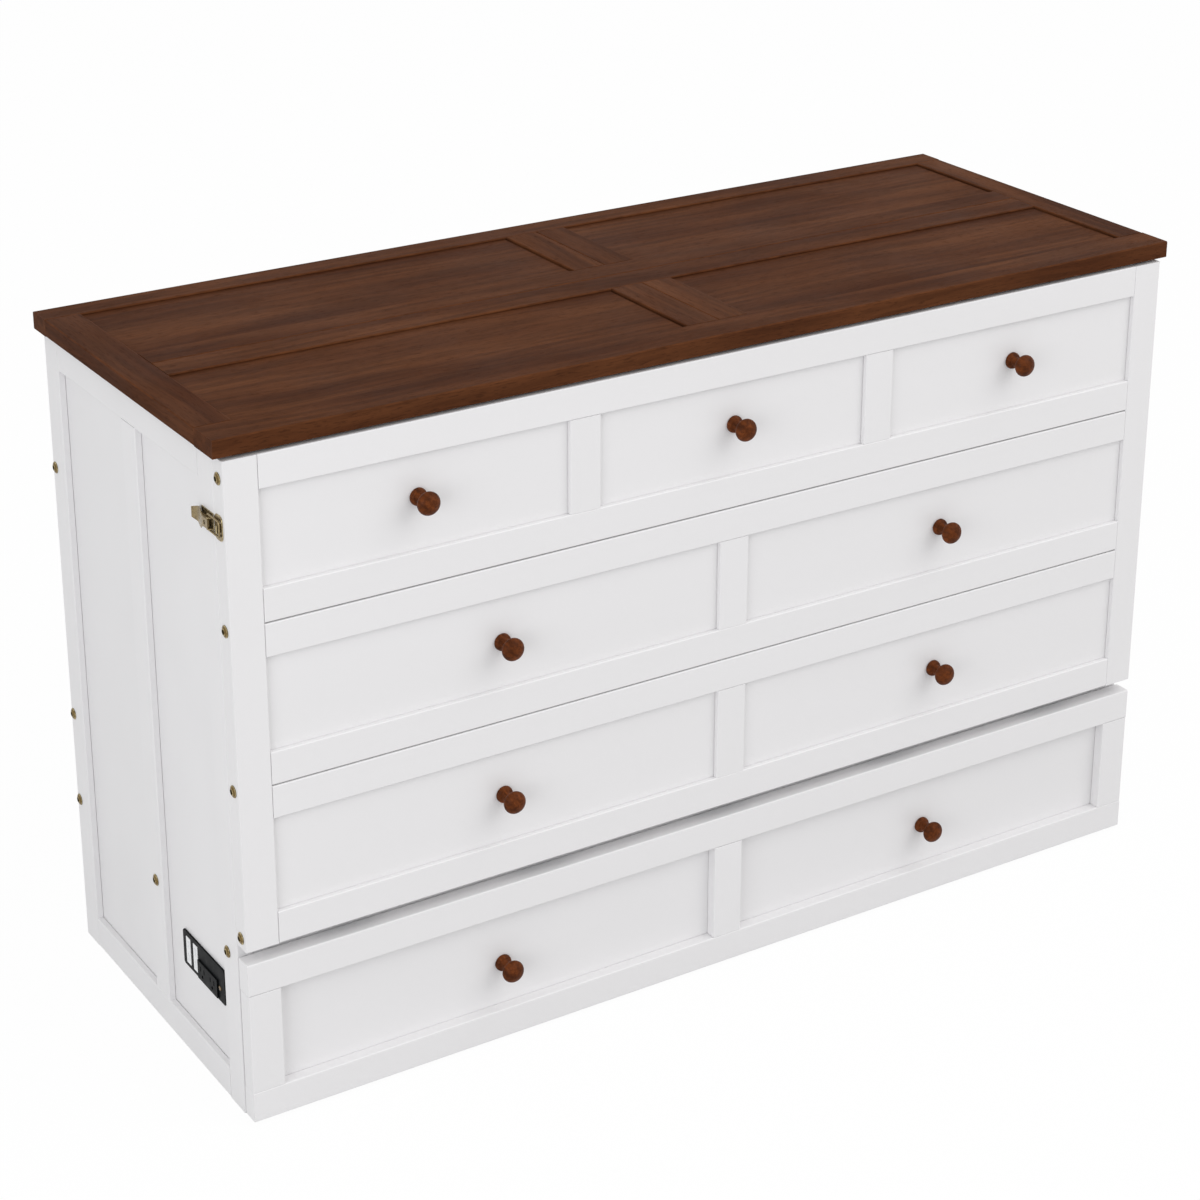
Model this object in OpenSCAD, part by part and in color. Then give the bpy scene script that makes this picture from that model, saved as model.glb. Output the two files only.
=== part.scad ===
// Queen cabinet bed, closed: a chest with a lid, a false drawer front that
// lowers as the middle of the bed, a foot frame folded behind it and a drawer.
// X runs across the width, the front faces -Y, Z is up and the floor is z = 0.

/* [Cabinet] */
// Width over the two side frames
body_w = 1606; // [1450:1:1800]
// Height of the cabinet up to the underside of the lid
body_h = 1005; // [960:1:1060]
// Depth of a side frame
side_d = 575; // [545:1:640]
// Distance from the back of the lid to the back of the cabinet
back_inset = 6; // [6:0.5:12]
// Thickness of a side frame
side_t = 25; // [24:0.5:30]
// Width of the upright boards of a side frame
side_stile_w = 47; // [40:1:60]
// Width of the top board of a side frame
side_top_w = 51; // [40:1:70]
// Width of the bottom board of a side frame
side_bottom_w = 48; // [35:1:60]
// Distance from the back of a side frame to its middle upright
side_mid_at = 274; // [240:1:300]
// How far the side panels lie behind their frame
side_recess = 10; // [6:0.5:12]
// Thickness of a side panel
side_panel_t = 8; // [6:0.5:10]

/* [Back] */
// Thickness of the back frame
back_t = 18; // [16:0.5:24]
// How far the back frame ends below the lid
back_lid_gap = 5; // [3:0.5:8]
// Width of the boards of the back frame
back_board_w = 72; // [50:1:90]
// Thickness of the back panels
back_panel_t = 6; // [4:0.5:8]

/* [Lid] */
// Thickness of the lid
lid_t = 26; // [22:0.5:32]
// How far the lid overhangs each side
lid_overhang = 12; // [12:0.5:30]
// How far the lid panels lie below the frame of the lid
lid_recess = 3.5; // [2:0.25:5]
// Thickness of a lid panel
lid_panel_t = 14; // [10:0.5:16]
// Width of the rear board of the lid
lid_rear_w = 46; // [40:1:60]
// Width of the rear one of the two middle boards
lid_mid_rear_w = 50; // [40:1:60]
// Width of the front one of the two middle boards
lid_mid_front_w = 55; // [40:1:70]
// Width of the front board of the lid
lid_front_w = 58; // [45:1:70]
// Width of the left end board of the lid
lid_left_w = 55; // [40:1:70]
// Width of the right end board of the lid
lid_right_w = 48; // [40:1:70]
// Width of the left one of the two cross boards
lid_cross_left_w = 54; // [40:1:70]
// Width of the right one of the two cross boards
lid_cross_right_w = 51; // [40:1:70]
// Shadow gap at the right end of a lid panel
lid_shadow = 3; // [1:0.25:4]

/* [Drop front] */
// Thickness of the drop front
front_t = 31; // [28:0.5:36]
// Gap between the drop front and the lid
front_lid_gap = 5; // [3:0.5:8]
// Height of the bottom edge of the drop front over the drawer front
front_drawer_gap = 21; // [20:0.5:30]
// Width of the upright boards of the drop front
front_stile_w = 50; // [42:1:60]
// Width of a rail of the false drawers
front_rail_w = 49; // [44:1:56]
// Width of an upright between two false drawers
front_divider_w = 50; // [40:1:60]
// How much taller the lowest row of false drawers is
front_low_more = 4; // [0:0.5:8]
// How much narrower the middle panel of the top row is
front_middle_less = 8; // [0:1:20]
// Gap between two rows of false drawers
front_row_gap = 2; // [1:0.25:4]
// How far the false drawer panels lie behind their frame
front_recess = 8; // [5:0.5:9]
// Thickness of a false drawer panel
front_panel_t = 8; // [6:0.5:8]
// Width of a slat on the back of the drop front
front_slat_w = 80; // [60:1:110]

/* [Drawer] */
// Height of the top edge of the drawer front
drawer_top = 256; // [250:1:262]
// Clearance between the drawer front and the floor
drawer_floor_gap = 3; // [2:0.5:6]
// Thickness of the drawer front
drawer_front_t = 28; // [26:0.5:30]
// Width of the top board of the drawer front
drawer_rail_w = 50; // [40:1:60]
// Height of the top of the bottom board of the drawer front
drawer_low_top = 50; // [40:1:60]
// How far the drawer panels lie behind their frame
drawer_recess = 18; // [8:0.5:19]
// Thickness of a drawer panel
drawer_panel_t = 6; // [5:0.5:7]
// Height of the drawer knobs
drawer_knob_z = 118; // [100:1:140]
// Height of the top of the drawer box
drawer_box_top = 170; // [140:1:176]
// Thickness of the walls of the drawer box
drawer_wall_t = 12; // [10:0.5:13]
// Thickness of the bottom of the drawer box
drawer_floor_t = 9; // [6:0.5:12]
// Length of a drawer runner
runner_l = 500; // [450:10:510]
// Height of a drawer runner
runner_h = 45; // [42:1:50]

/* [Bed deck] */
// Thickness of a slat
slat_t = 18; // [15:0.5:20]
// Width of a slat
slat_w = 60; // [50:1:66]
// Number of slats on the fixed deck
deck_slats_n = 6; // [4:1:6]
// Height of the boards under the slats
deck_rail_h = 75; // [65:1:80]
// Thickness of the boards under the slats
deck_rail_t = 25; // [20:0.5:30]
// Gap between the foot frame and a side frame
foot_side_gap = 13; // [8:0.5:40]
// Number of slats on the foot frame
foot_slats_n = 7; // [5:1:8]
// Thickness of a slat on the foot frame
foot_slat_t = 15; // [12:0.5:18]
// Thickness of the boards of the foot frame
foot_rail_t = 25; // [20:0.5:28]
// Width of the boards of the foot frame
foot_rail_w = 60; // [50:1:66]

/* [Legs] */
// Width of a folding leg
leg_w = 35; // [30:1:42]
// Thickness of a folding leg
leg_t = 30; // [24:1:32]
// Distance of a leg pivot from the end of the foot frame
leg_pivot_at = 46; // [35:1:60]

/* [Knobs] */
// Diameter of the head of a knob
knob_d = 34; // [28:0.5:36]
// Length of the head of a knob
knob_head_l = 26; // [22:0.5:30]
// Diameter of the foot of a knob
knob_foot_d = 28; // [24:0.5:30]
// Diameter of the neck of a knob
knob_neck_d = 16; // [12:0.5:18]
// Distance of the middle of a knob's head from its panel
knob_reach = 33; // [28:0.5:36]

/* [Hinges and latches] */
// Length of a hinge
hinge_l = 90; // [80:1:110]
// Thickness of a hinge leaf
leaf_t = 2.5; // [2:0.1:2.5]
// Radius of a hinge barrel
barrel_r = 4.5; // [4:0.1:4.6]
// Radius of a hinge pin
pin_r = 2.3; // [2:0.1:2.6]
// Distance of the latches below the lid
latch_down = 102; // [70:1:150]
// Height of a latch base
latch_h = 28; // [24:1:32]
// Height of a latch keeper
keeper_h = 36; // [32:1:44]
// Diameter of a brass bolt head
bolt_d = 18; // [15:0.5:20]

/* [Power outlet] */
// Width of the outlet plate
outlet_w = 141; // [130:1:148]
// Height of the outlet plate
outlet_h = 57; // [50:1:60]
// Height of the middle of the outlet plate
outlet_z = 165.5; // [155:0.5:166]
// How far the sockets stand out of the outlet plate
socket_rise = 2.5; // [1:0.25:4]

/* [Hidden] */
$fn = 48;

white = [0.92, 0.92, 0.93];
walnut = [0.36, 0.2, 0.12];
pine = [0.82, 0.7, 0.5];
brass = [0.6, 0.5, 0.3];
steel = [0.66, 0.67, 0.68];
black = [0.12, 0.13, 0.15];
ivory = [0.93, 0.94, 0.95];

ease = 1.2;             // chamfer on the long edges of the boards
tongue = 7;             // how far a panel runs into its frame
fit = 0.2;              // clearance round a tongue or in a housing
part_gap = 1;           // gap between two bodies that pass each other
front_gap = 1;          // gap between the side frames and the drop front
turn_gap = 0.08;        // radial clearance of a pin in its barrel
seam = 0.2;             // joint line between two boards of one sub-part

// Across the width
half = body_w / 2;
side_in = half - side_t;
lid_half = half + lid_overhang;
foot_half = side_in - foot_side_gap;

// From the back to the front
y_back = -back_inset;
y_back_in = y_back - back_t;
y_side = y_back - side_d;
y_front_in = y_side - front_gap;
y_face = y_front_in - front_t;
lid_d = -y_face;
y_drawer_in = y_face + drawer_front_t;

// From the floor to the lid
front_z0 = drawer_top + front_drawer_gap;
front_z1 = body_h - front_lid_gap;
row_h = (front_z1 - front_z0 - 2 * front_row_gap - front_low_more) / 3;
lid_z0 = body_h;
lid_z1 = body_h + lid_t;
rest_gap = 0.5;         // felt pads hold the lid this far off the cabinet

// The drop front turns about a pin just over its bottom edge
front_pin_in = 21;
front_pin_up = 3;
front_pin_y = y_face + front_pin_in;
front_pin_z = front_z0 + front_pin_up;
deck_z = front_pin_z + y_front_in - front_pin_y;

// The foot frame lies face to face with the drop front and turns about its top
fold_gap = 1;
fold_drop = 6;
fold_end_gap = 2;
foot_lift = 10;
fold_y = y_front_in + fold_gap / 2;
fold_z = front_z1 - fold_drop;
foot_face_y = fold_y + fold_gap / 2;
foot_rail_y = foot_face_y + foot_slat_t;
foot_back_y = foot_rail_y + foot_rail_t;
foot_z1 = 2 * fold_z - front_z1 - fold_end_gap;
foot_z0 = deck_z + foot_lift;

// The lid turns about pins behind the cabinet
lid_pin_y = -1;
lid_pin_z = lid_z0 - barrel_r;

// The folding legs
leg_pin_r = 4;
leg_pin_y = foot_back_y + leg_t / 2 + part_gap;
near_pin_z = foot_z1 - leg_pivot_at;
far_pin_z = foot_z0 + leg_pivot_at;
leg_floor_gap = 0.5;
leg_reach = front_pin_z - front_pin_y + 2 * fold_y - leg_pin_y - leg_floor_gap;
leg_x = foot_half - foot_rail_w / 2;
leg_bar_up = 20;        // how far the crossbar of a leg lies above the floor

// Places along the hinges, and the travel of the drawer
hinge_in = 163;         // distance of the outer hinges from the sides
hinge_at = [for (i = [-2 : 2]) i * (half - hinge_in) / 2];
runner_z = 95;

// The object stands with the middle of its footprint on the origin
knob_tip_y = y_face + front_recess - knob_reach - knob_head_l / 2;
centre_y = -(knob_tip_y + lid_pin_y + barrel_r) / 2;

module placed() translate([0, centre_y, 0]) children();
module both_sides() {
    children();
    mirror([1, 0, 0]) children();
}
module slab(lo, hi) translate(lo) cube(hi - lo);
module along_x(x0, x1) translate([x0, 0, 0]) rotate([90, 0, 90]) linear_extrude(x1 - x0) children();
module rect(a0, b0, a1, b1) translate([a0, b0]) square([a1 - a0, b1 - b0]);
module eased(a0, b0, a1, b1, e = ease)
    polygon([
        [a0 + e, b0], [a1 - e, b0], [a1, b0 + e], [a1, b1 - e],
        [a1 - e, b1], [a0 + e, b1], [a0, b1 - e], [a0, b0 + e]
    ]);
// Boards between two corners, with eased edges along X, Y or Z
module board_x(lo, hi) along_x(lo.x, hi.x) eased(lo.y, lo.z, hi.y, hi.z);
module board_y(lo, hi)
    translate([0, hi.y, 0]) rotate([90, 0, 0]) linear_extrude(hi.y - lo.y) eased(lo.x, lo.z, hi.x, hi.z);
module board_z(lo, hi)
    translate([0, 0, lo.z]) linear_extrude(hi.z - lo.z) eased(lo.x, lo.y, hi.x, hi.y);

// Side frames, drawn on the left
bolt_stem_r = 3;
bolt_stem_l = 10;
bolt_head_h = 3;
bolt_in = 9;                       // distance of the rear bolts from the back edge
side_z1 = body_h - rest_gap;
side_mid_y1 = y_back - side_mid_at;
side_mid_y0 = side_mid_y1 - side_stile_w;
deck_bolt_z = deck_z - 50;
pair_bolt_z = deck_bolt_z + 147;   // second bolt of the pair at the back
top_bolt_down = 214;               // distance of the highest bolt below the lid
front_bolt_in = 32;
side_bolts = [
    [y_back - bolt_in, deck_bolt_z], [y_back - bolt_in, pair_bolt_z],
    [y_back - bolt_in, body_h - top_bolt_down],
    [(side_mid_y0 + side_mid_y1) / 2, deck_bolt_z], [y_side + front_bolt_in, deck_bolt_z + 7]
];
module side_bolt_holes()
    for (b = side_bolts)
        translate([-half - 1, b.x, b.y]) rotate([0, 90, 0])
            cylinder(h = bolt_stem_l + 1 + fit, r = bolt_stem_r + fit);
module side_panel(y0, y1, t, c)
    slab([-half + side_recess - c, y0 - t, side_bottom_w - t],
         [-half + side_recess + side_panel_t + c, y1 + t, side_z1 - side_top_w + t]);
module side_panel_pair(t, c) {
    side_panel(side_mid_y1, y_back - side_stile_w, t, c);
    side_panel(y_side + side_stile_w, side_mid_y0, t, c);
}
module side_uprights() {
    color(white) difference() {
        union() {
            board_z([-half, y_back - side_stile_w, 0], [-side_in, y_back, side_z1]);
            board_z([-half, y_side, 0], [-side_in, y_side + side_stile_w, side_z1]);
            board_z([-half, side_mid_y0, side_bottom_w], [-side_in, side_mid_y1, side_z1 - side_top_w]);
        }
        side_panel_pair(tongue + fit, fit);
        side_bolt_holes();
    }
}
module side_rails() {
    color(white) difference() {
        for (z = [[0, side_bottom_w], [side_z1 - side_top_w, side_z1]])
            board_y([-half, y_side + side_stile_w, z.x], [-side_in, y_back - side_stile_w, z.y]);
        side_panel_pair(tongue + fit, fit);
    }
}
module left_side_stiles() placed() side_uprights();
module left_side_rails() placed() side_rails();
module left_side_panels() placed() color(white) difference() {
    side_panel_pair(tongue, 0);
    outlet_body(fit);
}
module right_side_stiles() placed() mirror([1, 0, 0]) side_uprights();
module right_side_rails() placed() mirror([1, 0, 0]) side_rails();
module right_side_panels() placed() mirror([1, 0, 0]) color(white) side_panel_pair(tongue, 0);

// Back frame with two tall panels over a long low one
gland_x = half - 283;
gland_z = 130;
gland_r = 14;
back_h = body_h - back_lid_gap;
back_low_top = deck_z - slat_t;
back_low_z0 = back_low_top - back_board_w;
back_panel_y = y_back - 5;
module back_panel(x0, x1, z0, z1, t, c)
    slab([x0 - t, back_panel_y - back_panel_t - c, z0 - t], [x1 + t, back_panel_y + c, z1 + t]);
module back_panel_set(t, c) {
    back_panel(-side_in + back_board_w, -back_board_w / 2, back_low_top, back_h - back_board_w, t, c);
    back_panel(back_board_w / 2, side_in - back_board_w, back_low_top, back_h - back_board_w, t, c);
    back_panel(-side_in + back_board_w, side_in - back_board_w, back_board_w, back_low_z0, t, c);
}
module back_stiles() placed() color(white) difference() {
    union() {
        both_sides() board_z([-side_in, y_back_in, 0], [-side_in + back_board_w, y_back, back_h]);
        board_z([-back_board_w / 2, y_back_in, back_low_top],
                [back_board_w / 2, y_back, back_h - back_board_w]);
    }
    back_panel_set(tongue + fit, fit);
}
module back_rails() placed() color(white) difference() {
    for (z = [0, back_low_z0, back_h - back_board_w])
        board_x([-side_in + back_board_w, y_back_in, z], [side_in - back_board_w, y_back, z + back_board_w]);
    back_panel_set(tongue + fit, fit);
}
module back_panels() placed() color(white) difference() {
    back_panel_set(tongue, 0);
    translate([-gland_x, back_panel_y + 1, gland_z]) rotate([90, 0, 0])
        cylinder(h = back_panel_t + 2, r = gland_r + fit);
}

// Brass bolts with domed heads
module bolt(stem) rotate([0, -90, 0]) rotate_extrude() polygon(concat(
    [[0, -stem], [bolt_stem_r, -stem], [bolt_stem_r, 0], [bolt_d / 2, 0], [bolt_d / 2, 0.8]],
    [for (a = [30 : 15 : 90]) [bolt_d / 2 * cos(a) * 0.98, 0.8 + (bolt_head_h - 0.8) * sin(a)]]
));
module cabinet_bolts() placed() color(brass) both_sides()
    for (b = side_bolts) translate([-half, b.x, b.y]) bolt(bolt_stem_l);

// Fixed deck inside the cabinet
deck_rail_z1 = deck_z - slat_t;
deck_rail_z0 = deck_rail_z1 - deck_rail_h;
deck_front_y = y_side + part_gap;
deck_slat_y0 = deck_front_y + deck_rail_t + 4;
deck_slat_y1 = y_back_in - part_gap;
deck_slat_step = (deck_slat_y1 - deck_slat_y0 - slat_w) / (deck_slats_n - 1);
beam_half = 20;
module deck_side_rails() placed() color(pine) both_sides()
    board_y([-side_in, deck_front_y, deck_rail_z0], [-side_in + deck_rail_t, y_back_in, deck_rail_z1]);
module deck_cross_rails() placed() color(white)
    for (y = [deck_front_y, y_back_in - deck_rail_t])
        board_x([-side_in + deck_rail_t, y, deck_rail_z0],
                [side_in - deck_rail_t, y + deck_rail_t, deck_rail_z1]);
module deck_centre_beam() placed() color(pine)
    board_y([-beam_half, deck_front_y + deck_rail_t, deck_rail_z0 + 20],
            [beam_half, y_back_in - deck_rail_t, deck_rail_z1]);
module deck_slats() placed() color(pine)
    for (i = [0 : deck_slats_n - 1]) {
        y = deck_slat_y0 + i * deck_slat_step;
        board_x([-side_in + part_gap, y, deck_rail_z1], [side_in - part_gap, y + slat_w, deck_z]);
    }

// Lid: long boards at the front and back, two middle boards, cross boards and four panels
lid_x0 = -lid_half + lid_left_w;
lid_x1 = lid_half - lid_right_w;
lid_panel_l = (lid_x1 - lid_x0 - lid_cross_left_w - lid_cross_right_w) / 2;
lid_cross_x0 = lid_x0 + lid_panel_l;
lid_cross_x = lid_cross_x0 + lid_cross_left_w;
lid_cross_x1 = lid_cross_x + lid_cross_right_w;
lid_bay_d = (lid_d - lid_rear_w - lid_mid_rear_w - lid_mid_front_w - lid_front_w) / 2;
lid_y_rear = -lid_rear_w;
lid_y_mid1 = lid_y_rear - lid_bay_d;
lid_y_mid = lid_y_mid1 - lid_mid_rear_w;
lid_y_mid0 = lid_y_mid - lid_mid_front_w;
lid_y_front = lid_y_mid0 - lid_bay_d;
lid_bays = [[lid_y_mid1, lid_y_rear], [lid_y_front, lid_y_mid0]];
lid_panel_z1 = lid_z1 - lid_recess;
lid_panel_z0 = lid_panel_z1 - lid_panel_t;
lid_step_z = lid_panel_z0 + 8;     // the tongue at the right end is this high
module lid_panel(x0, x1, bay, t, c) {
    slab([x0 - t, bay.x - t, lid_panel_z0 - c], [x1 - lid_shadow, bay.y + t, lid_panel_z1 + c]);
    slab([x0 - t, bay.x - t, lid_panel_z0 - c], [x1 + t, bay.y + t, lid_step_z + c]);
}
module lid_panel_set(t, c)
    for (bay = lid_bays, x = [lid_x0, lid_cross_x1]) lid_panel(x, x + lid_panel_l, bay, t, c);
module lid_board_x(x0, x1, y0, y1) board_x([x0, y0, lid_z0], [x1, y1, lid_z1]);
module lid_board_y(x0, x1, y0, y1) board_y([x0, y0, lid_z0], [x1, y1, lid_z1]);
module lid_long_boards() placed() color(walnut) difference() {
    union() {
        lid_board_x(-lid_half, lid_half, lid_y_rear, 0);
        lid_board_x(-lid_half, lid_half, -lid_d, lid_y_front);
    }
    lid_panel_set(tongue + fit, fit);
    hinges() lid_leaf_room();
}
module lid_end_boards() placed() color(walnut) difference() {
    union() {
        lid_board_y(-lid_half, lid_x0, lid_y_front, lid_y_rear);
        lid_board_y(lid_x1, lid_half, lid_y_front, lid_y_rear);
    }
    lid_panel_set(tongue + fit, fit);
}
module lid_centre_boards() placed() color(walnut) difference() {
    union() {
        lid_board_x(lid_x0, lid_x1, lid_y_mid + seam, lid_y_mid1);
        lid_board_x(lid_x0, lid_x1, lid_y_mid0, lid_y_mid);
    }
    lid_panel_set(tongue + fit, fit);
}
module lid_cross_boards() placed() color(walnut) difference() {
    for (bay = lid_bays) {
        lid_board_y(lid_cross_x0, lid_cross_x, bay.x, bay.y);
        lid_board_y(lid_cross_x + seam, lid_cross_x1, bay.x, bay.y);
    }
    lid_panel_set(tongue + fit, fit);
}
module lid_panels() placed() color(walnut) lid_panel_set(tongue, 0);
batten_w = 60;
batten_h = 18;
batten_in = 45;         // room for the legs in front of the battens
module lid_battens() placed() color(walnut)
    for (x = [lid_x0 + lid_panel_l / 2, lid_cross_x, lid_x1 - lid_panel_l / 2])
        board_y([x - batten_w / 2, leg_pin_y + batten_in, lid_z0 - batten_h],
                [x + batten_w / 2, lid_y_rear - 20, lid_z0]);

// Drop front: uprights, six rails, three rows of panels
stile_in = half - front_stile_w;
front_panel_y = y_face + front_recess + front_panel_t;
row_z0 = [for (i = [0 : 2]) front_z0 + i * (row_h + front_row_gap) + min(i, 1) * front_low_more];
row_z1 = [for (i = [0 : 2]) front_z0 + i * (row_h + front_row_gap) + row_h + front_low_more];
front_dividers_x = [[0], [0], [-1, 1] * ((2 * stile_in + front_divider_w) / 6 - front_middle_less / 2)];
function row_edges(i) = concat(
    [-stile_in], [for (x = front_dividers_x[i], e = [-1, 1]) x + e * front_divider_w / 2], [stile_in]);
module front_panel_set(t, c)
    for (i = [0 : 2]) {
        e = row_edges(i);
        for (k = [0 : 2 : len(e) - 2])
            slab([e[k] - t, y_face + front_recess - c, row_z0[i] + front_rail_w - t],
                 [e[k + 1] + t, front_panel_y + c, row_z1[i] - front_rail_w + t]);
    }
front_bolts_z = [front_z0 + 16, row_z0[1] - 2, row_z0[2] - 6, front_z1 - 28];
front_bolt_y = y_face + front_t / 2;
module front_stiles() placed() color(white) difference() {
    both_sides() board_z([-half, y_face, front_z0], [-stile_in, y_front_in, front_z1]);
    front_panel_set(tongue + fit, fit);
    both_sides() for (z = front_bolts_z)
        translate([-half - 1, front_bolt_y, z]) rotate([0, 90, 0])
            cylinder(h = bolt_stem_l + 1 + fit, r = bolt_stem_r + fit);
}
module front_rails() placed() color(white) difference() {
    for (i = [0 : 2], z = [row_z0[i], row_z1[i] - front_rail_w])
        board_x([-stile_in, y_face, z], [stile_in, y_front_in, z + front_rail_w]);
    front_panel_set(tongue + fit, fit);
    hinges() front_leaf_room();
}
module front_dividers() placed() color(white) difference() {
    for (i = [0 : 2], x = front_dividers_x[i])
        board_z([x - front_divider_w / 2, y_face, row_z0[i] + front_rail_w],
                [x + front_divider_w / 2, front_panel_y, row_z1[i] - front_rail_w]);
    front_panel_set(tongue + fit, fit);
}
module front_panels() placed() color(white) front_panel_set(tongue, 0);
module front_slats() placed() color(pine)
    for (z = (row_z0 + row_z1) / 2)
        board_x([-stile_in, front_panel_y, z - front_slat_w / 2],
                [stile_in, y_front_in, z + front_slat_w / 2]);
module front_bolts() placed() color(brass) both_sides()
    for (z = front_bolts_z) translate([-half, front_bolt_y, z]) bolt(bolt_stem_l);

// Turned knobs, drawn with their foot on the panel
knob_rise = [2.5, 0, 7];           // how far each row's knobs lie above the middle of their panels
module knob(x, z, recess) {
    head = knob_head_l / 2;
    flange = 2.5;
    translate([x, y_face + recess, z]) rotate([90, 0, 0]) rotate_extrude() polygon(concat(
        [[0, 0], [knob_foot_d / 2 - 1, 0], [knob_foot_d / 2, 1], [knob_foot_d / 2, flange]],
        [for (a = [15 : 15 : 90])
            [knob_neck_d / 2 + (knob_foot_d - knob_neck_d) / 2 * (1 - sin(a)),
             flange + (knob_reach - head - flange) * (1 - cos(a))]],
        [for (a = [-50 : 10 : 80]) [knob_d / 2 * cos(a), knob_reach + head * sin(a)]],
        [[0, knob_reach + head]]
    ));
}
module front_knobs() placed() color(walnut)
    for (i = [0 : 2]) {
        e = row_edges(i);
        for (k = [0 : 2 : len(e) - 2])
            knob((e[k] + e[k + 1]) / 2, (row_z0[i] + row_z1[i]) / 2 + knob_rise[i], front_recess);
    }

// Foot frame, folded behind the drop front with its slats towards it
foot_slat_step = (foot_z1 - foot_z0 - slat_w) / (foot_slats_n - 1);
module foot_side_rails() placed() color(pine) both_sides()
    board_z([-foot_half, foot_rail_y, foot_z0], [-foot_half + foot_rail_w, foot_back_y, foot_z1]);
module foot_end_rails() placed() color(pine)
    for (z = [foot_z0, foot_z1 - foot_rail_w])
        board_x([-foot_half + foot_rail_w, foot_rail_y, z],
                [foot_half - foot_rail_w, foot_back_y, z + foot_rail_w]);
module foot_slats() placed() color(pine) difference() {
    for (i = [0 : foot_slats_n - 1]) {
        z = foot_z0 + i * foot_slat_step;
        board_x([-foot_half, foot_face_y, z], [foot_half, foot_rail_y, z + slat_w]);
    }
    hinges() foot_leaf_room();
}

// Legs of the foot frame and the brackets that carry them
ear_t = 4;
ear_r = leg_t / 2 - 1;
bracket_w = leg_w + 2 * ear_t + 2 * fit;
module ear(x, z) translate([x, 0, 0]) rotate([90, 0, 90]) linear_extrude(ear_t) union() {
    translate([leg_pin_y, z]) circle(r = ear_r);
    rect(foot_back_y, z - ear_r, leg_pin_y, z + ear_r);
}
module leg_brackets() placed() color(steel) both_sides()
    for (z = [near_pin_z, far_pin_z]) {
        ear(-leg_x - bracket_w / 2, z);
        ear(-leg_x + bracket_w / 2 - ear_t, z);
        translate([-leg_x - bracket_w / 2, leg_pin_y, z]) rotate([0, 90, 0])
            cylinder(h = bracket_w, r = leg_pin_r);
    }
// A leg frame that runs from its pins at height z towards z + way * leg_reach
module leg_frame(z, way) {
    end = z + way * leg_reach;
    bar = end - way * leg_w;
    both_sides() difference() {
        along_x(-leg_x - leg_w / 2, -leg_x + leg_w / 2) {
            translate([leg_pin_y, z]) circle(r = leg_t / 2);
            rect(leg_pin_y - leg_t / 2, min(z, end), leg_pin_y + leg_t / 2, max(z, end));
        }
        translate([-leg_x - leg_w, leg_pin_y, z]) rotate([0, 90, 0])
            cylinder(h = 2 * leg_w, r = leg_pin_r + turn_gap);
    }
    board_x([-leg_x + leg_w / 2, leg_pin_y - leg_t / 4, min(bar, end) - way * leg_bar_up],
            [leg_x - leg_w / 2, leg_pin_y + leg_t / 4, max(bar, end) - way * leg_bar_up]);
}
module near_legs() placed() color(pine) leg_frame(near_pin_z, -1);
module far_legs() placed() color(pine) leg_frame(far_pin_z, 1);

// Hinges: each leaf is a plate, and its knuckles take turns along the pin
knuckle_gap = 0.5;
knuckle_l = hinge_l / 3;
notch_r = 11;                      // room for the barrel and its root as they turn
module hinges() for (x = hinge_at) translate([x, 0, 0]) children();
module outer_knuckles() {
    along_x(-hinge_l / 2, -hinge_l / 2 + knuckle_l - knuckle_gap) children();
    along_x(hinge_l / 2 - knuckle_l + knuckle_gap, hinge_l / 2) children();
}
module inner_knuckle() along_x(-knuckle_l / 2, knuckle_l / 2) children();
module plate() along_x(-hinge_l / 2, hinge_l / 2) children();
module leaf_room() along_x(-hinge_l / 2 - fit, hinge_l / 2 + fit) children();
// A barrel about the pin at (y, z) with a root, less the bore of the pin
module barrel(y, z) difference() {
    union() {
        translate([y, z]) circle(r = barrel_r);
        children();
    }
    translate([y, z]) circle(r = pin_r + turn_gap);
}
module pin(y, z)
    translate([-hinge_l / 2, y, z]) rotate([0, 90, 0]) cylinder(h = hinge_l, r = pin_r);
leaf_l = 38;
// Front hinge: one leaf lies on the deck, the other is let into the bottom rail
front_leaf_z0 = deck_rail_z1;
module front_fixed_leaf() {
    plate() rect(front_pin_y + barrel_r + 1, front_leaf_z0,
                 deck_front_y + deck_rail_t, front_leaf_z0 + leaf_t);
    outer_knuckles() barrel(front_pin_y, front_pin_z)
        rect(front_pin_y - barrel_r, front_leaf_z0, front_pin_y + barrel_r + 1, front_pin_z);
}
module front_moving_leaf() {
    plate() rect(y_front_in - leaf_t, front_pin_z + barrel_r + 2, y_front_in, front_pin_z + leaf_l + 5);
    inner_knuckle() barrel(front_pin_y, front_pin_z) {
        rect(front_pin_y, front_pin_z, y_front_in, front_pin_z + barrel_r);
        rect(y_front_in - leaf_t, front_pin_z, y_front_in, front_pin_z + barrel_r + 2);
    }
}
// Foot hinge: the leaves lie face to face between the drop front and the foot frame
module foot_fixed_leaf() {
    plate() rect(y_front_in - leaf_t, fold_z - leaf_l - 6, y_front_in, fold_z - barrel_r - 2);
    outer_knuckles() barrel(fold_y, fold_z)
        rect(fold_y - barrel_r, fold_z - barrel_r - 2, y_front_in, fold_z);
}
module foot_moving_leaf() {
    plate() rect(foot_face_y, foot_z1 - leaf_l + 2, foot_face_y + leaf_t, foot_z1);
    inner_knuckle() barrel(fold_y, fold_z) rect(foot_face_y, foot_z1, fold_y + barrel_r, fold_z);
}
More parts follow.
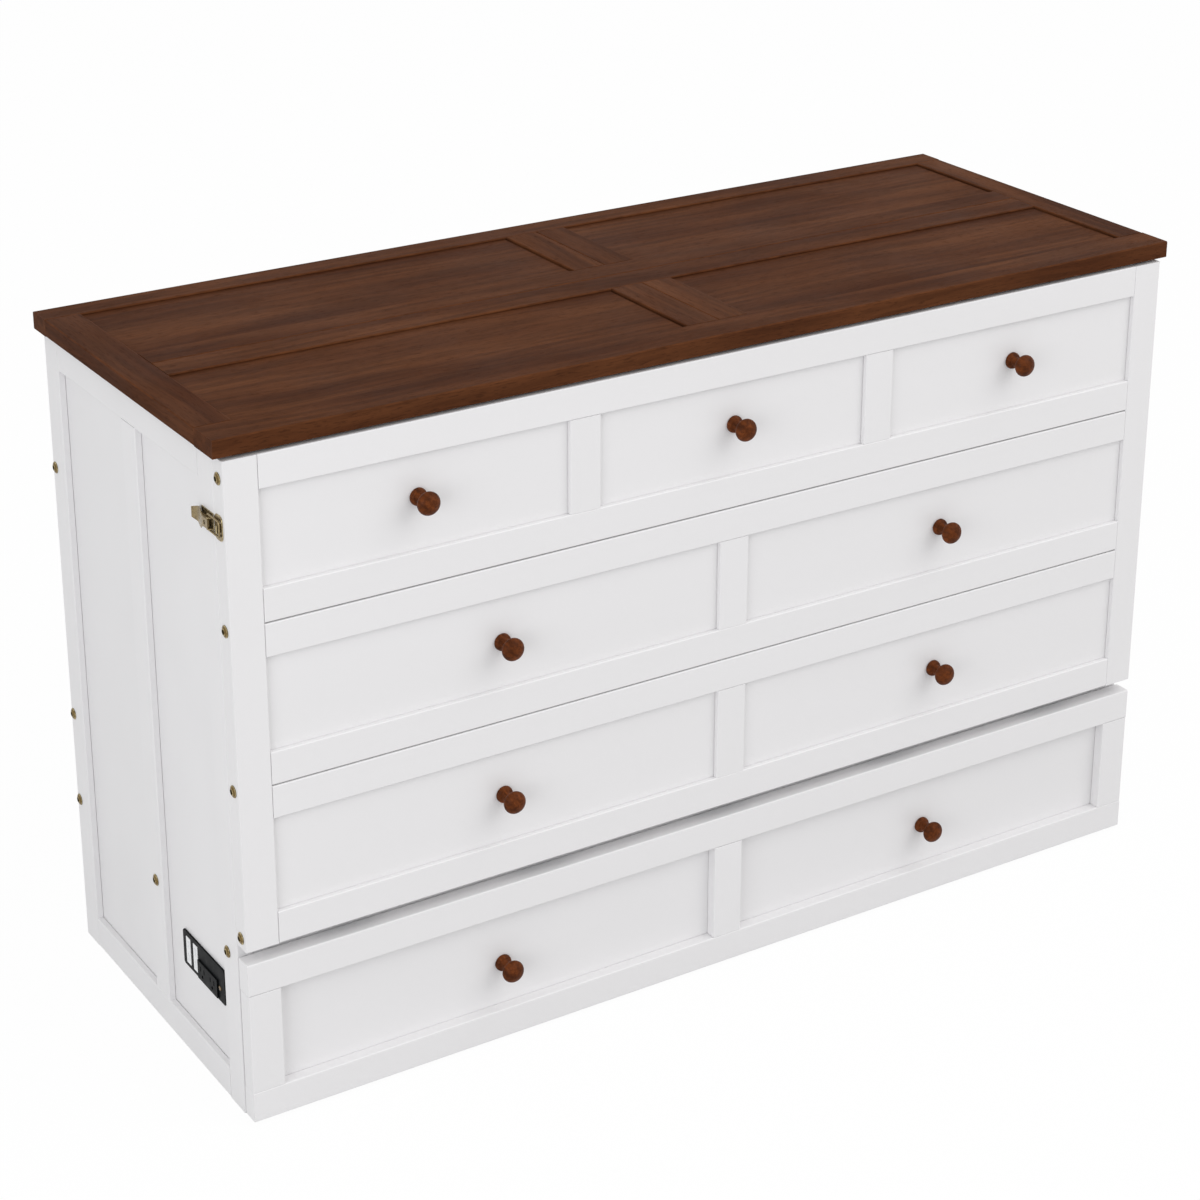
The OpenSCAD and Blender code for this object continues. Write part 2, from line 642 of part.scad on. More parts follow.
// Lid hinge: one leaf is on the back frame, the other is let into the lid
module lid_fixed_leaf() {
    plate() rect(y_back, lid_pin_z - leaf_l - 6, y_back + leaf_t, lid_pin_z - barrel_r);
    outer_knuckles() barrel(lid_pin_y, lid_pin_z)
        rect(y_back, lid_pin_z - barrel_r, lid_pin_y, lid_pin_z);
}
module lid_moving_leaf() {
    plate() rect(lid_pin_y - leaf_l, lid_z0, lid_pin_y - barrel_r - 1, lid_z0 + leaf_t);
    inner_knuckle() barrel(lid_pin_y, lid_pin_z) {
        rect(lid_pin_y - barrel_r, lid_pin_z, lid_pin_y + barrel_r, lid_z0);
        rect(lid_pin_y - barrel_r - 1, lid_z0, lid_pin_y + barrel_r - 4, lid_z0 + leaf_t);
    }
}
module lid_leaf_room() leaf_room() {
    rect(lid_pin_y - leaf_l - fit, lid_z0 - 1, lid_pin_y + barrel_r, lid_z0 + leaf_t);
}
module front_leaf_room() leaf_room() {
    rect(front_pin_y - notch_r, front_z0 - 1, y_front_in + 1, front_pin_z + notch_r);
    rect(y_front_in - leaf_t, front_z0, y_front_in + 1, front_pin_z + leaf_l + 5 + fit);
    rect(fold_y - notch_r, fold_z - notch_r, y_front_in + 1, front_z1 + 1);
    rect(y_front_in - leaf_t, fold_z - leaf_l - 6 - fit, y_front_in + 1, front_z1 + 1);
}
module foot_leaf_room() leaf_room()
    rect(foot_face_y - 1, foot_z1 - leaf_l + 2 - fit, foot_face_y + leaf_t, foot_z1 + 1);
module cabinet_hinge_leaves() placed() color(steel) hinges() {
    front_fixed_leaf();
    lid_fixed_leaf();
}
module cabinet_hinge_pins() placed() color(steel) hinges() {
    pin(front_pin_y, front_pin_z);
    pin(lid_pin_y, lid_pin_z);
}
module front_hinge_leaves() placed() color(steel) hinges() {
    front_moving_leaf();
    foot_fixed_leaf();
}
module foot_hinge_pins() placed() color(steel) hinges() pin(fold_y, fold_z);
module foot_hinge_leaves() placed() color(steel) hinges() foot_moving_leaf();
module lid_hinge_leaves() placed() color(steel) hinges() lid_moving_leaf();

// Drawer front, box and runners
drawer_z0 = drawer_floor_gap;
drawer_rail_z = drawer_top - drawer_rail_w;
drawer_edges = [-stile_in, -front_divider_w / 2, front_divider_w / 2, stile_in];
module drawer_panel_set(t, c)
    for (k = [0, 2])
        slab([drawer_edges[k] - t, y_face + drawer_recess - c, drawer_low_top - t],
             [drawer_edges[k + 1] + t, y_face + drawer_recess + drawer_panel_t + c, drawer_rail_z + t]);
module drawer_front_rails() placed() color(white) difference() {
    for (z = [[drawer_z0, drawer_low_top], [drawer_rail_z, drawer_top]])
        board_x([-half, y_face, z.x], [half, y_drawer_in, z.y]);
    drawer_panel_set(tongue + fit, fit);
}
module drawer_front_stiles() placed() color(white) difference() {
    for (x = [[-half, -stile_in], [drawer_edges[1], drawer_edges[2]], [stile_in, half]])
        board_z([x.x, y_face, drawer_low_top], [x.y, y_drawer_in, drawer_rail_z]);
    drawer_panel_set(tongue + fit, fit);
}
module drawer_front_panels() placed() color(white) drawer_panel_set(tongue, 0);
module drawer_knobs() placed() color(walnut)
    for (k = [0, 2]) knob((drawer_edges[k] + drawer_edges[k + 1]) / 2, drawer_knob_z, drawer_recess);
runner_room = 13.5;
box_half = side_in - runner_room;
box_y1 = y_back_in - 40;
box_z0 = 20;
module drawer_walls() placed() color(pine) {
    both_sides() board_y([-box_half, y_drawer_in, box_z0],
                         [-box_half + drawer_wall_t, box_y1, drawer_box_top]);
    board_x([-box_half + drawer_wall_t + seam, box_y1 - drawer_wall_t, box_z0],
            [box_half - drawer_wall_t - seam, box_y1, drawer_box_top]);
}
module drawer_bottom() placed() color(pine)
    slab([-box_half + drawer_wall_t, y_drawer_in, box_z0],
         [box_half - drawer_wall_t, box_y1 - drawer_wall_t, box_z0 + drawer_floor_t]);
// Runner sections between a side frame and the drawer box, drawn on the left
channel_t = 1.5;
runner_play = 0.5;
runner_y0 = y_side + 8;
mid_runner_x = -side_in + channel_t + runner_play;
bar_x = mid_runner_x + channel_t + runner_play;
module runner(l) translate([0, runner_y0 + l, 0]) rotate([90, 0, 0]) linear_extrude(l) children();
module channel(x, w, h) {
    rect(x, runner_z - h / 2, x + channel_t, runner_z + h / 2);
    rect(x, runner_z + h / 2 - channel_t, x + w, runner_z + h / 2);
    rect(x, runner_z - h / 2, x + w, runner_z - h / 2 + channel_t);
}
mid_runner_h = runner_h - 2 * channel_t - 2 * runner_play;
bar_h = mid_runner_h - 2 * channel_t - 2 * runner_play;
module cabinet_runners() placed() color(steel) both_sides()
    runner(runner_l) channel(-side_in, runner_room - 2, runner_h);
module middle_runners() placed() color(steel) both_sides()
    runner(runner_l) channel(mid_runner_x, runner_room - 5, mid_runner_h);
module drawer_runner_bars() placed() color(steel) both_sides()
    runner(runner_l) rect(bar_x, runner_z - bar_h / 2, -box_half, runner_z + bar_h / 2);

// Draw latches, drawn on the left about the pivot of the lever
latch_y = y_side + 6;
latch_z = body_h - latch_down;
latch_plate_t = 1.5;
latch_plate_l = 31;                // how far the base runs back from the pivot
lever_pin_x = -6.2;
lever_out_x = -9.1;                // outer face of the lever
lever_in_x = -4;                   // outer face of the lever where it bends
lever_t = 1.4;
lever_neck_half = 7;               // the lever is narrow between the wires of the loop
lever_slot = [5, 9];               // a slot through the lever above the loop's pin
lever_slot_half = 3;
cheek_in_x = -latch_plate_t - 0.15;
lug_r = 2.6;
lug_z = lever_neck_half + 0.2 + lever_t / 2;
wire_r = 1.5;
loop_pin = [-3.9, 8];              // how far the loop's pin lies out and back
loop_half = lug_z + lever_t / 2 + 0.8 + wire_r;
loop_reach = 28;
lever_l = 49;
lever_bend = 38;                   // the tip is bent out from here
lever_outline = [
    [lever_neck_half, -3], [lever_neck_half, 13], [12.5, 19], [13.5, 30], [11, lever_bend], [7.5, lever_l]
];
lever_path = [
    [lever_out_x, -3], [lever_out_x, 17], [lever_in_x - 1, lever_bend - 6], [lever_in_x, lever_bend],
    [lever_out_x + 1, lever_l]
];
lever_cheek = [
    [lever_out_x, -3], [lever_pin_x + lug_r, -lug_r], [cheek_in_x, loop_pin.y], [cheek_in_x, 12],
    [lever_in_x - 1.1, lever_bend - 8], [lever_out_x + 0.2, 17]
];
function back_along(l) = [for (i = [len(l) - 1 : -1 : 0]) l[i]];
module latch_place() translate([-half, latch_y, latch_z]) children();
module z_rod(x, y, h, r) translate([x, y, -h]) cylinder(h = 2 * h, r = r);
module latch_base() latch_place() {
    slab([-latch_plate_t, -5, -latch_h / 2], [0, latch_plate_l, latch_h / 2]);
    for (z = [-1, 1]) translate([0, 0, z * lug_z - lever_t / 2]) linear_extrude(lever_t) union() {
        translate([lever_pin_x, 0]) circle(r = lug_r);
        polygon([[0, -5], [0, 5], [lever_pin_x, lug_r], [lever_pin_x, -lug_r]]);
    }
    z_rod(lever_pin_x, 0, lug_z + lever_t / 2, wire_r);
}
module lever() latch_place() difference() {
    union() {
        for (z = [-1, 1]) translate([0, 0, z * (lever_neck_half - lever_t / 2) - lever_t / 2])
            linear_extrude(lever_t) polygon(lever_cheek);
        intersection() {
            translate([0, 0, -latch_h / 2]) linear_extrude(latch_h)
                polygon(concat(lever_path, [for (q = back_along(lever_path)) q + [lever_t, 0]]));
            translate([-20, 0, 0]) rotate([0, 90, 0]) linear_extrude(20)
                polygon(concat(lever_outline, [for (q = back_along(lever_outline)) [-q.x, q.y]]));
        }
    }
    z_rod(lever_pin_x, 0, latch_h, wire_r + turn_gap);
    z_rod(loop_pin.x, loop_pin.y, latch_h, wire_r + turn_gap);
    slab([2 * lever_out_x, lever_slot.x, -lever_slot_half],
         [lever_out_x + 1.5 * lever_t, lever_slot.y, lever_slot_half]);
}
module loop() latch_place() translate([loop_pin.x, 0, 0]) {
    z_rod(0, loop_pin.y, loop_half + wire_r, wire_r);
    z_rod(0, -loop_reach, loop_half + wire_r, wire_r);
    for (z = [-1, 1]) translate([0, loop_pin.y, z * loop_half]) rotate([90, 0, 0])
        cylinder(h = loop_reach + loop_pin.y, r = wire_r);
}
keeper_y = [-32, -8.5];            // front and rear edge of the keeper
keeper_round = 8;
hook_half = 6;
hook_y = -loop_reach + wire_r + 1.1;     // front of the hook, just behind the loop
module keeper() latch_place() {
    translate([-latch_plate_t, 0, 0]) rotate([0, 90, 0]) linear_extrude(latch_plate_t)
        offset(r = keeper_round) rect(-keeper_h / 2 + keeper_round, keeper_y.x + keeper_round,
                                      keeper_h / 2 - keeper_round, keeper_y.y - keeper_round);
    translate([0, 0, -hook_half]) linear_extrude(2 * hook_half) polygon([
        [-latch_plate_t, hook_y + 5.4], [-6, hook_y + 2.9], [-7.2, hook_y + 0.6], [-6.2, hook_y],
        [-latch_plate_t, hook_y + 1]
    ]);
}
module latch_keepers() placed() color(brass) both_sides() keeper();
module latch_bases() placed() color(brass) both_sides() latch_base();
module left_latch_lever() placed() color(brass) lever();
module right_latch_lever() placed() color(brass) mirror([1, 0, 0]) lever();
module left_latch_loop() placed() color(brass) loop();
module right_latch_loop() placed() color(brass) mirror([1, 0, 0]) loop();

// Power outlet in the front panel of the left side
outlet_at = 118.5;                 // distance of its middle from the middle upright
outlet_y = side_mid_y0 - outlet_at;
outlet_face_x = -half + side_recess;
outlet_plate_t = 3;
outlet_rim = 8;
outlet_deep = 24;
socket_at = [-15.5, -10.8];        // middle of the sockets, from the middle of the plate
socket_w = 66;
socket_h = 30;
socket_hole = 1.5;                 // depth of the holes
usb_w = 14;
usb_h = 43;
usb_places = [27.5, 51.5];         // middles of the two ports, from the middle of the plate
usb_deep = 8;
lamp_at = [-54, -6.5];
lamp_r = 3.5;
module outlet_block(y0, z0, y1, z1, x0, x1)
    slab([outlet_face_x + x0, outlet_y + y0, outlet_z + z0],
         [outlet_face_x + x1, outlet_y + y1, outlet_z + z1]);
module outlet_body(c)
    outlet_block(-outlet_w / 2 + outlet_rim - c, -outlet_h / 2 + 5 - c,
                 outlet_w / 2 - outlet_rim + c, outlet_h / 2 - 5 + c, -1, outlet_deep);
module outlet_ports(c, x0, x1)
    for (y = usb_places)
        outlet_block(y - usb_w / 2 - c, -usb_h / 2 - c, y + usb_w / 2 + c, usb_h / 2 + c, x0, x1);
module outlet_rod(x, y, z, h, r)
    translate([outlet_face_x + x, outlet_y + y, outlet_z + z]) rotate([0, 90, 0]) cylinder(h = h, r = r);
module outlet_plate() placed() color(black) difference() {
    union() {
        translate([outlet_face_x - outlet_plate_t, outlet_y, outlet_z]) rotate([90, 0, 90])
            linear_extrude(outlet_plate_t) eased(-outlet_w / 2, -outlet_h / 2, outlet_w / 2, outlet_h / 2, 3);
        outlet_block(-outlet_w / 2 + outlet_rim, -outlet_h / 2 + 5,
                     outlet_w / 2 - outlet_rim, outlet_h / 2 - 5, 0, outlet_deep);
    }
    outlet_ports(fit, -outlet_plate_t - 1, usb_deep);
    outlet_rod(-outlet_plate_t - 1, lamp_at.x, lamp_at.y, outlet_plate_t, lamp_r + fit);
}
module outlet_sockets() placed() color(black) difference() {
    outlet_block(socket_at.x - socket_w / 2, socket_at.y - socket_h / 2, socket_at.x + socket_w / 2,
                 socket_at.y + socket_h / 2, -outlet_plate_t - socket_rise, -outlet_plate_t);
    for (y = [-1, 1] * socket_w / 4) {
        for (k = [-6, 6])
            outlet_block(socket_at.x + y + k - 1, socket_at.y, socket_at.x + y + k + 1, socket_at.y + 8,
                         -outlet_plate_t - socket_rise - 1, -outlet_plate_t - socket_rise + socket_hole);
        outlet_rod(-outlet_plate_t - socket_rise - 1, socket_at.x + y, socket_at.y - 6.5,
                   1 + socket_hole, 2.6);
    }
}
module usb_ports() placed() color(ivory) difference() {
    outlet_ports(0, -outlet_plate_t - 0.6, usb_deep);
    for (y = usb_places, z = [-10, 10])
        outlet_block(y - 2, z - 6, y + 2, z + 6, -outlet_plate_t - 2, -1);
}
module outlet_lamp() placed() color(brass)
    outlet_rod(-outlet_plate_t - 0.8, lamp_at.x, lamp_at.y, outlet_plate_t - 0.2, lamp_r);
module cord_gland() placed() color(black)
    translate([-gland_x, back_panel_y - back_panel_t - 2, gland_z]) rotate([-90, 0, 0])
        rotate_extrude() polygon([
        [8, 0], [gland_r + 4, 0], [gland_r + 4, 2], [gland_r, 2], [gland_r, back_panel_t + 2],
        [gland_r + 4, back_panel_t + 2], [gland_r + 4, back_panel_t + 3.2], [gland_r + 2.5, back_panel_t + 4],
        [9.5, back_panel_t + 4], [8, back_panel_t + 2.5]
    ]);

left_side_stiles();
left_side_rails();
left_side_panels();
right_side_stiles();
right_side_rails();
right_side_panels();
back_stiles();
back_rails();
back_panels();
cabinet_bolts();
deck_side_rails();
deck_cross_rails();
deck_centre_beam();
deck_slats();
lid_long_boards();
lid_end_boards();
lid_centre_boards();
lid_cross_boards();
lid_panels();
lid_battens();
lid_hinge_leaves();
front_stiles();
front_rails();
front_dividers();
front_panels();
front_slats();
front_knobs();
front_bolts();
latch_keepers();
front_hinge_leaves();
foot_hinge_pins();
foot_hinge_leaves();
foot_side_rails();
foot_end_rails();
foot_slats();
leg_brackets();
near_legs();
far_legs();
cabinet_hinge_leaves();
cabinet_hinge_pins();
drawer_front_rails();
drawer_front_stiles();
drawer_front_panels();
drawer_knobs();
drawer_walls();
drawer_bottom();
drawer_runner_bars();
cabinet_runners();
middle_runners();
latch_bases();
left_latch_lever();
right_latch_lever();
left_latch_loop();
right_latch_loop();
outlet_plate();
outlet_sockets();
usb_ports();
outlet_lamp();
cord_gland();
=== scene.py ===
import bpy, bmesh, math
from mathutils import Matrix, Vector


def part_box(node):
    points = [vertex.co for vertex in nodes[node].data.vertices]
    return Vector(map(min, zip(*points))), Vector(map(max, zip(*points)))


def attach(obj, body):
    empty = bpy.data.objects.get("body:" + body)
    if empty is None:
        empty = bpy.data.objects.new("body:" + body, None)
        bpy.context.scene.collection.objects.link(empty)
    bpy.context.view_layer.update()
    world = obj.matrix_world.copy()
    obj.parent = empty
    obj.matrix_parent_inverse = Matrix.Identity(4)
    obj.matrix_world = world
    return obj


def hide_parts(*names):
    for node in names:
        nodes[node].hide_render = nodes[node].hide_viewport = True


# Cabinet bed: painted carcass, stained lid, and the bed parts that fold out of it
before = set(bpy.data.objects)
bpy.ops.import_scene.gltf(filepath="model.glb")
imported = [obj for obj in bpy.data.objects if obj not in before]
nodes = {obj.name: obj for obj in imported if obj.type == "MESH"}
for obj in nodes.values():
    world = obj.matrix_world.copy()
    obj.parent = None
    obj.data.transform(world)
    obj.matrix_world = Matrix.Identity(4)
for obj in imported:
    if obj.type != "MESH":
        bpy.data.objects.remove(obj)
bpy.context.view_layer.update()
print("frame loaded:", len(nodes), "nodes")


# Node helpers
def addNode(tree, kind, x, y, **values):
    n = tree.nodes.new(kind)
    n.location = (x, y)
    for key, value in values.items():
        if hasattr(n, key):
            setattr(n, key, value)
        else:
            n.inputs[key.replace("_", " ")].default_value = value
    return n


def plug(tree, value, socket):
    # an output is linked, anything else becomes the socket's own value
    if hasattr(value, "is_linked"):
        tree.links.new(value, socket)
    else:
        socket.default_value = value


def shape(tree, kind, x, y, settings=None, **values):
    # a node with its settings, and its named inputs linked or set
    n = addNode(tree, kind, x, y, **(settings or {}))
    for key, value in values.items():
        plug(tree, value, n.inputs[key.strip("_").replace("_", " ")])
    return n


def combine(tree, op, a, b, x, y, kind="ShaderNodeMath"):
    n = addNode(tree, kind, x, y, operation=op)
    plug(tree, a, n.inputs[0])
    plug(tree, b, n.inputs[1])
    return n.outputs[0]


def combineVectors(tree, op, a, b, x, y):
    return combine(tree, op, a, b, x, y, "ShaderNodeVectorMath")


def vector(tree, a, b, c, x, y):
    return shape(tree, "ShaderNodeCombineXYZ", x, y, X=a, Y=b, Z=c).outputs[0]


# Camera and light
photoView = {"eye": (-2.15, -3.33365, 2.3045), "azimuth": -32.205, "elevation": 20.729,
             "roll": 0.059, "lens": 83.3, "sensor": 36, "shiftY": -0.15, "clipEnd": 60}


def makeCamera(v):
    data = bpy.data.cameras.new("photoCamera")
    data.lens, data.sensor_width, data.sensor_fit = v["lens"], v["sensor"], "HORIZONTAL"
    data.shift_y, data.clip_end = v["shiftY"], v["clipEnd"]
    a, e = math.radians(v["azimuth"]), math.radians(v["elevation"])
    back = Vector((math.sin(a) * math.cos(e), -math.cos(a) * math.cos(e), math.sin(e)))
    turn = (-back).to_track_quat("-Z", "Y").to_matrix().to_4x4()
    cam = bpy.data.objects.new("photoCamera", data)
    cam.matrix_world = Matrix.Translation(v["eye"]) @ turn @ Matrix.Rotation(math.radians(v["roll"]), 4, "Z")
    bpy.context.scene.collection.objects.link(cam)
    bpy.context.scene.camera = cam


makeCamera(photoView)
bpy.context.scene.view_settings.view_transform = "Standard"

studio = {"ambient": 0.7, "floorColour": (0.95, 0.95, 0.95), "bounceColour": (0.6, 0.6, 0.6), "floorGlow": 0.965,
          "floorHalf": 16, "floorHeight": -0.001, "lampAim": (0, 0, 0.5)}
softboxes = [  # name, place, size, watts, tint
    ("leftSoftbox", (-4.6, -2.9, 1.8), 2.8, 73, (0.97, 0.98, 1.0)),
    ("rightSoftbox", (3.0, -4.0, 5.0), 5.5, 150, (1.0, 0.99, 0.985)),
]


def chooseByRay(t, carried, shown, outputKind):
    # one shader for rays that carry light, the other for what is seen straight or in a reflection
    path = addNode(t, "ShaderNodeLightPath", -600, 0)
    rays = [path.outputs[label] for label in ("Is Camera Ray", "Is Glossy Ray", "Is Transmission Ray")]
    seen = combine(t, "MAXIMUM", combine(t, "MAXIMUM", rays[0], rays[1], -400, 0), rays[2], -200, 0)
    mix = addNode(t, "ShaderNodeMixShader", 400, 0)
    for k, source in enumerate((seen, carried.outputs[0], shown.outputs[0])):
        t.links.new(source, mix.inputs[k])
    t.links.new(mix.outputs[0], addNode(t, outputKind, 600, 0).inputs[0])


def makeStudio(s):
    world = bpy.data.worlds.new("studioWorld")
    bpy.context.scene.world = world
    world.use_nodes = True
    t = world.node_tree
    t.nodes.clear()
    light = addNode(t, "ShaderNodeBackground", 0, 100, Color=(1, 1, 1, 1), Strength=s["ambient"])
    white = addNode(t, "ShaderNodeBackground", 0, -100, Color=(1, 1, 1, 1), Strength=1.0)
    chooseByRay(t, light, white, "ShaderNodeOutputWorld")

    h, z = s["floorHalf"], s["floorHeight"]
    mesh = bpy.data.meshes.new("studioFloor")
    mesh.from_pydata([(-h, -h, z), (h, -h, z), (h, h, z), (-h, h, z)], [], [(0, 1, 2, 3)])
    floor = bpy.data.objects.new("studioFloor", mesh)
    bpy.context.scene.collection.objects.link(floor)
    m = bpy.data.materials.new("paleFloor")
    m.use_nodes = True
    t = m.node_tree
    t.nodes.clear()
    bounce = addNode(t, "ShaderNodeBsdfDiffuse", 0, -300, Color=(*s["bounceColour"], 1))
    dull = addNode(t, "ShaderNodeBsdfDiffuse", 0, -150, Color=(*s["floorColour"], 1))
    glow = addNode(t, "ShaderNodeEmission", 0, 150, Color=(1, 1, 1, 1), Strength=1.0)
    paper = addNode(t, "ShaderNodeMixShader", 200, 100)
    for k, source in enumerate((s["floorGlow"], dull.outputs[0], glow.outputs[0])):
        plug(t, source, paper.inputs[k])
    chooseByRay(t, bounce, paper, "ShaderNodeOutputMaterial")
    mesh.materials.append(m)

    for name, spot, size, watts, tint in softboxes:
        lamp = bpy.data.lights.new(name, "AREA")
        lamp.shape, lamp.size, lamp.energy, lamp.color = "SQUARE", size, watts, tint
        box = bpy.data.objects.new(name, lamp)
        look = (Vector(s["lampAim"]) - Vector(spot)).to_track_quat("-Z", "Y").to_matrix().to_4x4()
        box.matrix_world = Matrix.Translation(spot) @ look
        bpy.context.scene.collection.objects.link(box)


makeStudio(studio)
print("camera and studio light ready")


# Materials
def rgb(code):
    # a colour as given for the screen, as the linear value that a shader takes
    parts = [int(code[i:i + 2], 16) / 255 for i in (1, 3, 5)]
    return tuple(p / 12.92 if p <= 0.04045 else ((p + 0.055) / 1.055) ** 2.4 for p in parts) + (1,)


def groupTree(name, ins, outs):
    g = bpy.data.node_groups.new(name, "ShaderNodeTree")
    for label, kind, value in ins:
        s = g.interface.new_socket(name=label, in_out="INPUT", socket_type="NodeSocket" + kind)
        if value is not None:
            s.default_value = value
    for label in outs:
        g.interface.new_socket(name=label, in_out="OUTPUT", socket_type="NodeSocketFloat")
    return g, addNode(g, "NodeGroupInput", -1400, 0).outputs, addNode(g, "NodeGroupOutput", 900, 0).inputs


grainLayers = [  # input, output, stretch along the board, detail, roughness, low and high end of the mask
    ("Figure", "Figure", 0.14, 4.0, 0.55, 0.32, 0.68),
    ("Streaks", "Streak", 0.045, 5.0, 0.6, 0.32, 0.68),
    ("Pores", "Pore", 0.1, 2.0, 0.5, 0.54, 0.68),
]
grainDrift = {"seedSpread": (7.3, 3.1, 5.7), "scale": (2.2, 5.0, 5.0), "amount": 0.05}
growthRings = {"Scale": 0.55, "Distortion": 5.0, "Detail": 3.0, "Detail_Scale": 0.8, "Detail_Roughness": 0.6}
ringShare = 0.4


def buildGrainGroup():
    # long wavy figure, fine streaks and short pores, all running along local X
    g, i, out = groupTree("boardGrain", [
        ("Vector", "Vector", None), ("Seed", "Float", 0.0), ("Figure", "Float", 9.0), ("Streaks", "Float", 90.0),
        ("Pores", "Float", 520.0)], ["Figure", "Streak", "Pore"])
    seeds = vector(g, i["Seed"], i["Seed"], i["Seed"], -1350, -300)
    spread = combineVectors(g, "MULTIPLY", seeds, grainDrift["seedSpread"], -1200, -200)
    moved = combineVectors(g, "ADD", i["Vector"], spread, -1050, 0)
    # slow sideways drift of the figure
    slow = shape(g, "ShaderNodeMapping", -900, 250, Vector=moved, Scale=grainDrift["scale"])
    drift = shape(g, "ShaderNodeTexNoise", -720, 250, Vector=slow.outputs[0], Scale=1.0, Detail=2.0)
    sway = shape(g, "ShaderNodeVectorMath", -560, 250, {"operation": "SCALE"}, Vector=drift.outputs["Color"],
                 Scale=grainDrift["amount"])
    bent = combineVectors(g, "ADD", moved, sway.outputs[0], -400, 150)
    for row, (label, result, along, detail, rough, low, high) in enumerate(grainLayers):
        y = 250 - 250 * row
        short = combine(g, "MULTIPLY", i[label], along, -380, y - 80)
        size = vector(g, short, i[label], i[label], -200, y)
        scaled = combineVectors(g, "MULTIPLY", bent, size, 0, y)
        noise = shape(g, "ShaderNodeTexNoise", 200, y, Vector=scaled, Scale=1.0, Detail=detail, Roughness=rough)
        mask = shape(g, "ShaderNodeMapRange", 450, y, {"interpolation_type": "SMOOTHSTEP"},
                     Value=noise.outputs["Fac"], From_Min=low, From_Max=high).outputs["Result"]
        if result == "Figure":
            # flame-like bands of the growth rings, laid over the slow figure
            rings = shape(g, "ShaderNodeTexWave", 200, 550, {"wave_type": "BANDS", "bands_direction": "DIAGONAL"},
                          Vector=scaled, **growthRings)
            both = addNode(g, "ShaderNodeMix", 650, 400, data_type="FLOAT")
            for k, source in ((0, ringShare), (2, mask), (3, rings.outputs["Fac"])):
                plug(g, source, both.inputs[k])
            mask = both.outputs[0]
        g.links.new(mask, out[result])
    return g


def buildEdgeGroup():
    # rubbed edges: the rounded strip of each board, broken up by noise
    g, i, out = groupTree("edgeRub", [("Vector", "Vector", None), ("Edge", "Float", 0.0), ("Patch", "Float", 35.0)],
                          ["Rub"])
    noise = shape(g, "ShaderNodeTexNoise", -600, 0, Vector=i["Vector"], Scale=i["Patch"], Detail=3.0, Roughness=0.6)
    ramp = shape(g, "ShaderNodeMapRange", -350, 0, Value=noise.outputs["Fac"], From_Min=0.35, From_Max=0.7)
    g.links.new(combine(g, "MULTIPLY", ramp.outputs[0], i["Edge"], -100, 0), out["Rub"])
    return g


def buildHazeGroup():
    # uneven sheen left by spraying, moulding or handling
    g, i, out = groupTree("sheenHaze", [("Vector", "Vector", None), ("Scale", "Float", 6.0), ("Low", "Float", 0.3),
                                        ("High", "Float", 0.4)], ["Roughness", "Mask"])
    noise = shape(g, "ShaderNodeTexNoise", -600, 0, Vector=i["Vector"], Scale=i["Scale"], Detail=4.0, Roughness=0.55)
    ramp = shape(g, "ShaderNodeMapRange", -350, 0, Value=noise.outputs["Fac"], From_Min=0.3, From_Max=0.7,
                 To_Min=i["Low"], To_Max=i["High"])
    g.links.new(ramp.outputs[0], out["Roughness"])
    g.links.new(noise.outputs["Fac"], out["Mask"])
    return g


grainGroup, edgeGroup, hazeGroup = buildGrainGroup(), buildEdgeGroup(), buildHazeGroup()


def attribute(t, name, x, y):
    return addNode(t, "ShaderNodeAttribute", x, y, attribute_name=name).outputs["Fac"]


def startMaterial(name, turn=(0, 0, 0)):
    # new material with object coordinates and the rounded-edge mask ready
    m = bpy.data.materials.new(name)
    m.use_nodes = True
    t = m.node_tree
    t.nodes.clear()
    out = addNode(t, "ShaderNodeOutputMaterial", 1200, 0)
    bsdf = addNode(t, "ShaderNodeBsdfPrincipled", 900, 0)
    t.links.new(bsdf.outputs[0], out.inputs[0])
    coord = addNode(t, "ShaderNodeTexCoord", -1000, 0)
    turned = shape(t, "ShaderNodeMapping", -800, 0, Vector=coord.outputs["Object"],
                   Rotation=[math.radians(v) for v in turn])
    return m, t, bsdf, turned.outputs[0], attribute(t, "edgeMask", -800, -600)


def mixColour(t, fac, a, b, x, y):
    n = addNode(t, "ShaderNodeMix", x, y, data_type="RGBA")
    for k, value in ((0, fac), (6, a), (7, b)):
        plug(t, value, n.inputs[k])
    return n.outputs[2]


def useGroup(t, group, x, y, **values):
    n = addNode(t, "ShaderNodeGroup", x, y)
    n.node_tree = group
    for key, value in values.items():
        plug(t, value, n.inputs[key])
    return n


def bumpInto(t, bsdf, height, distance):
    b = shape(t, "ShaderNodeBump", 650, -500, Height=height, Strength=1.0, Distance=distance)
    t.links.new(b.outputs[0], bsdf.inputs["Normal"])


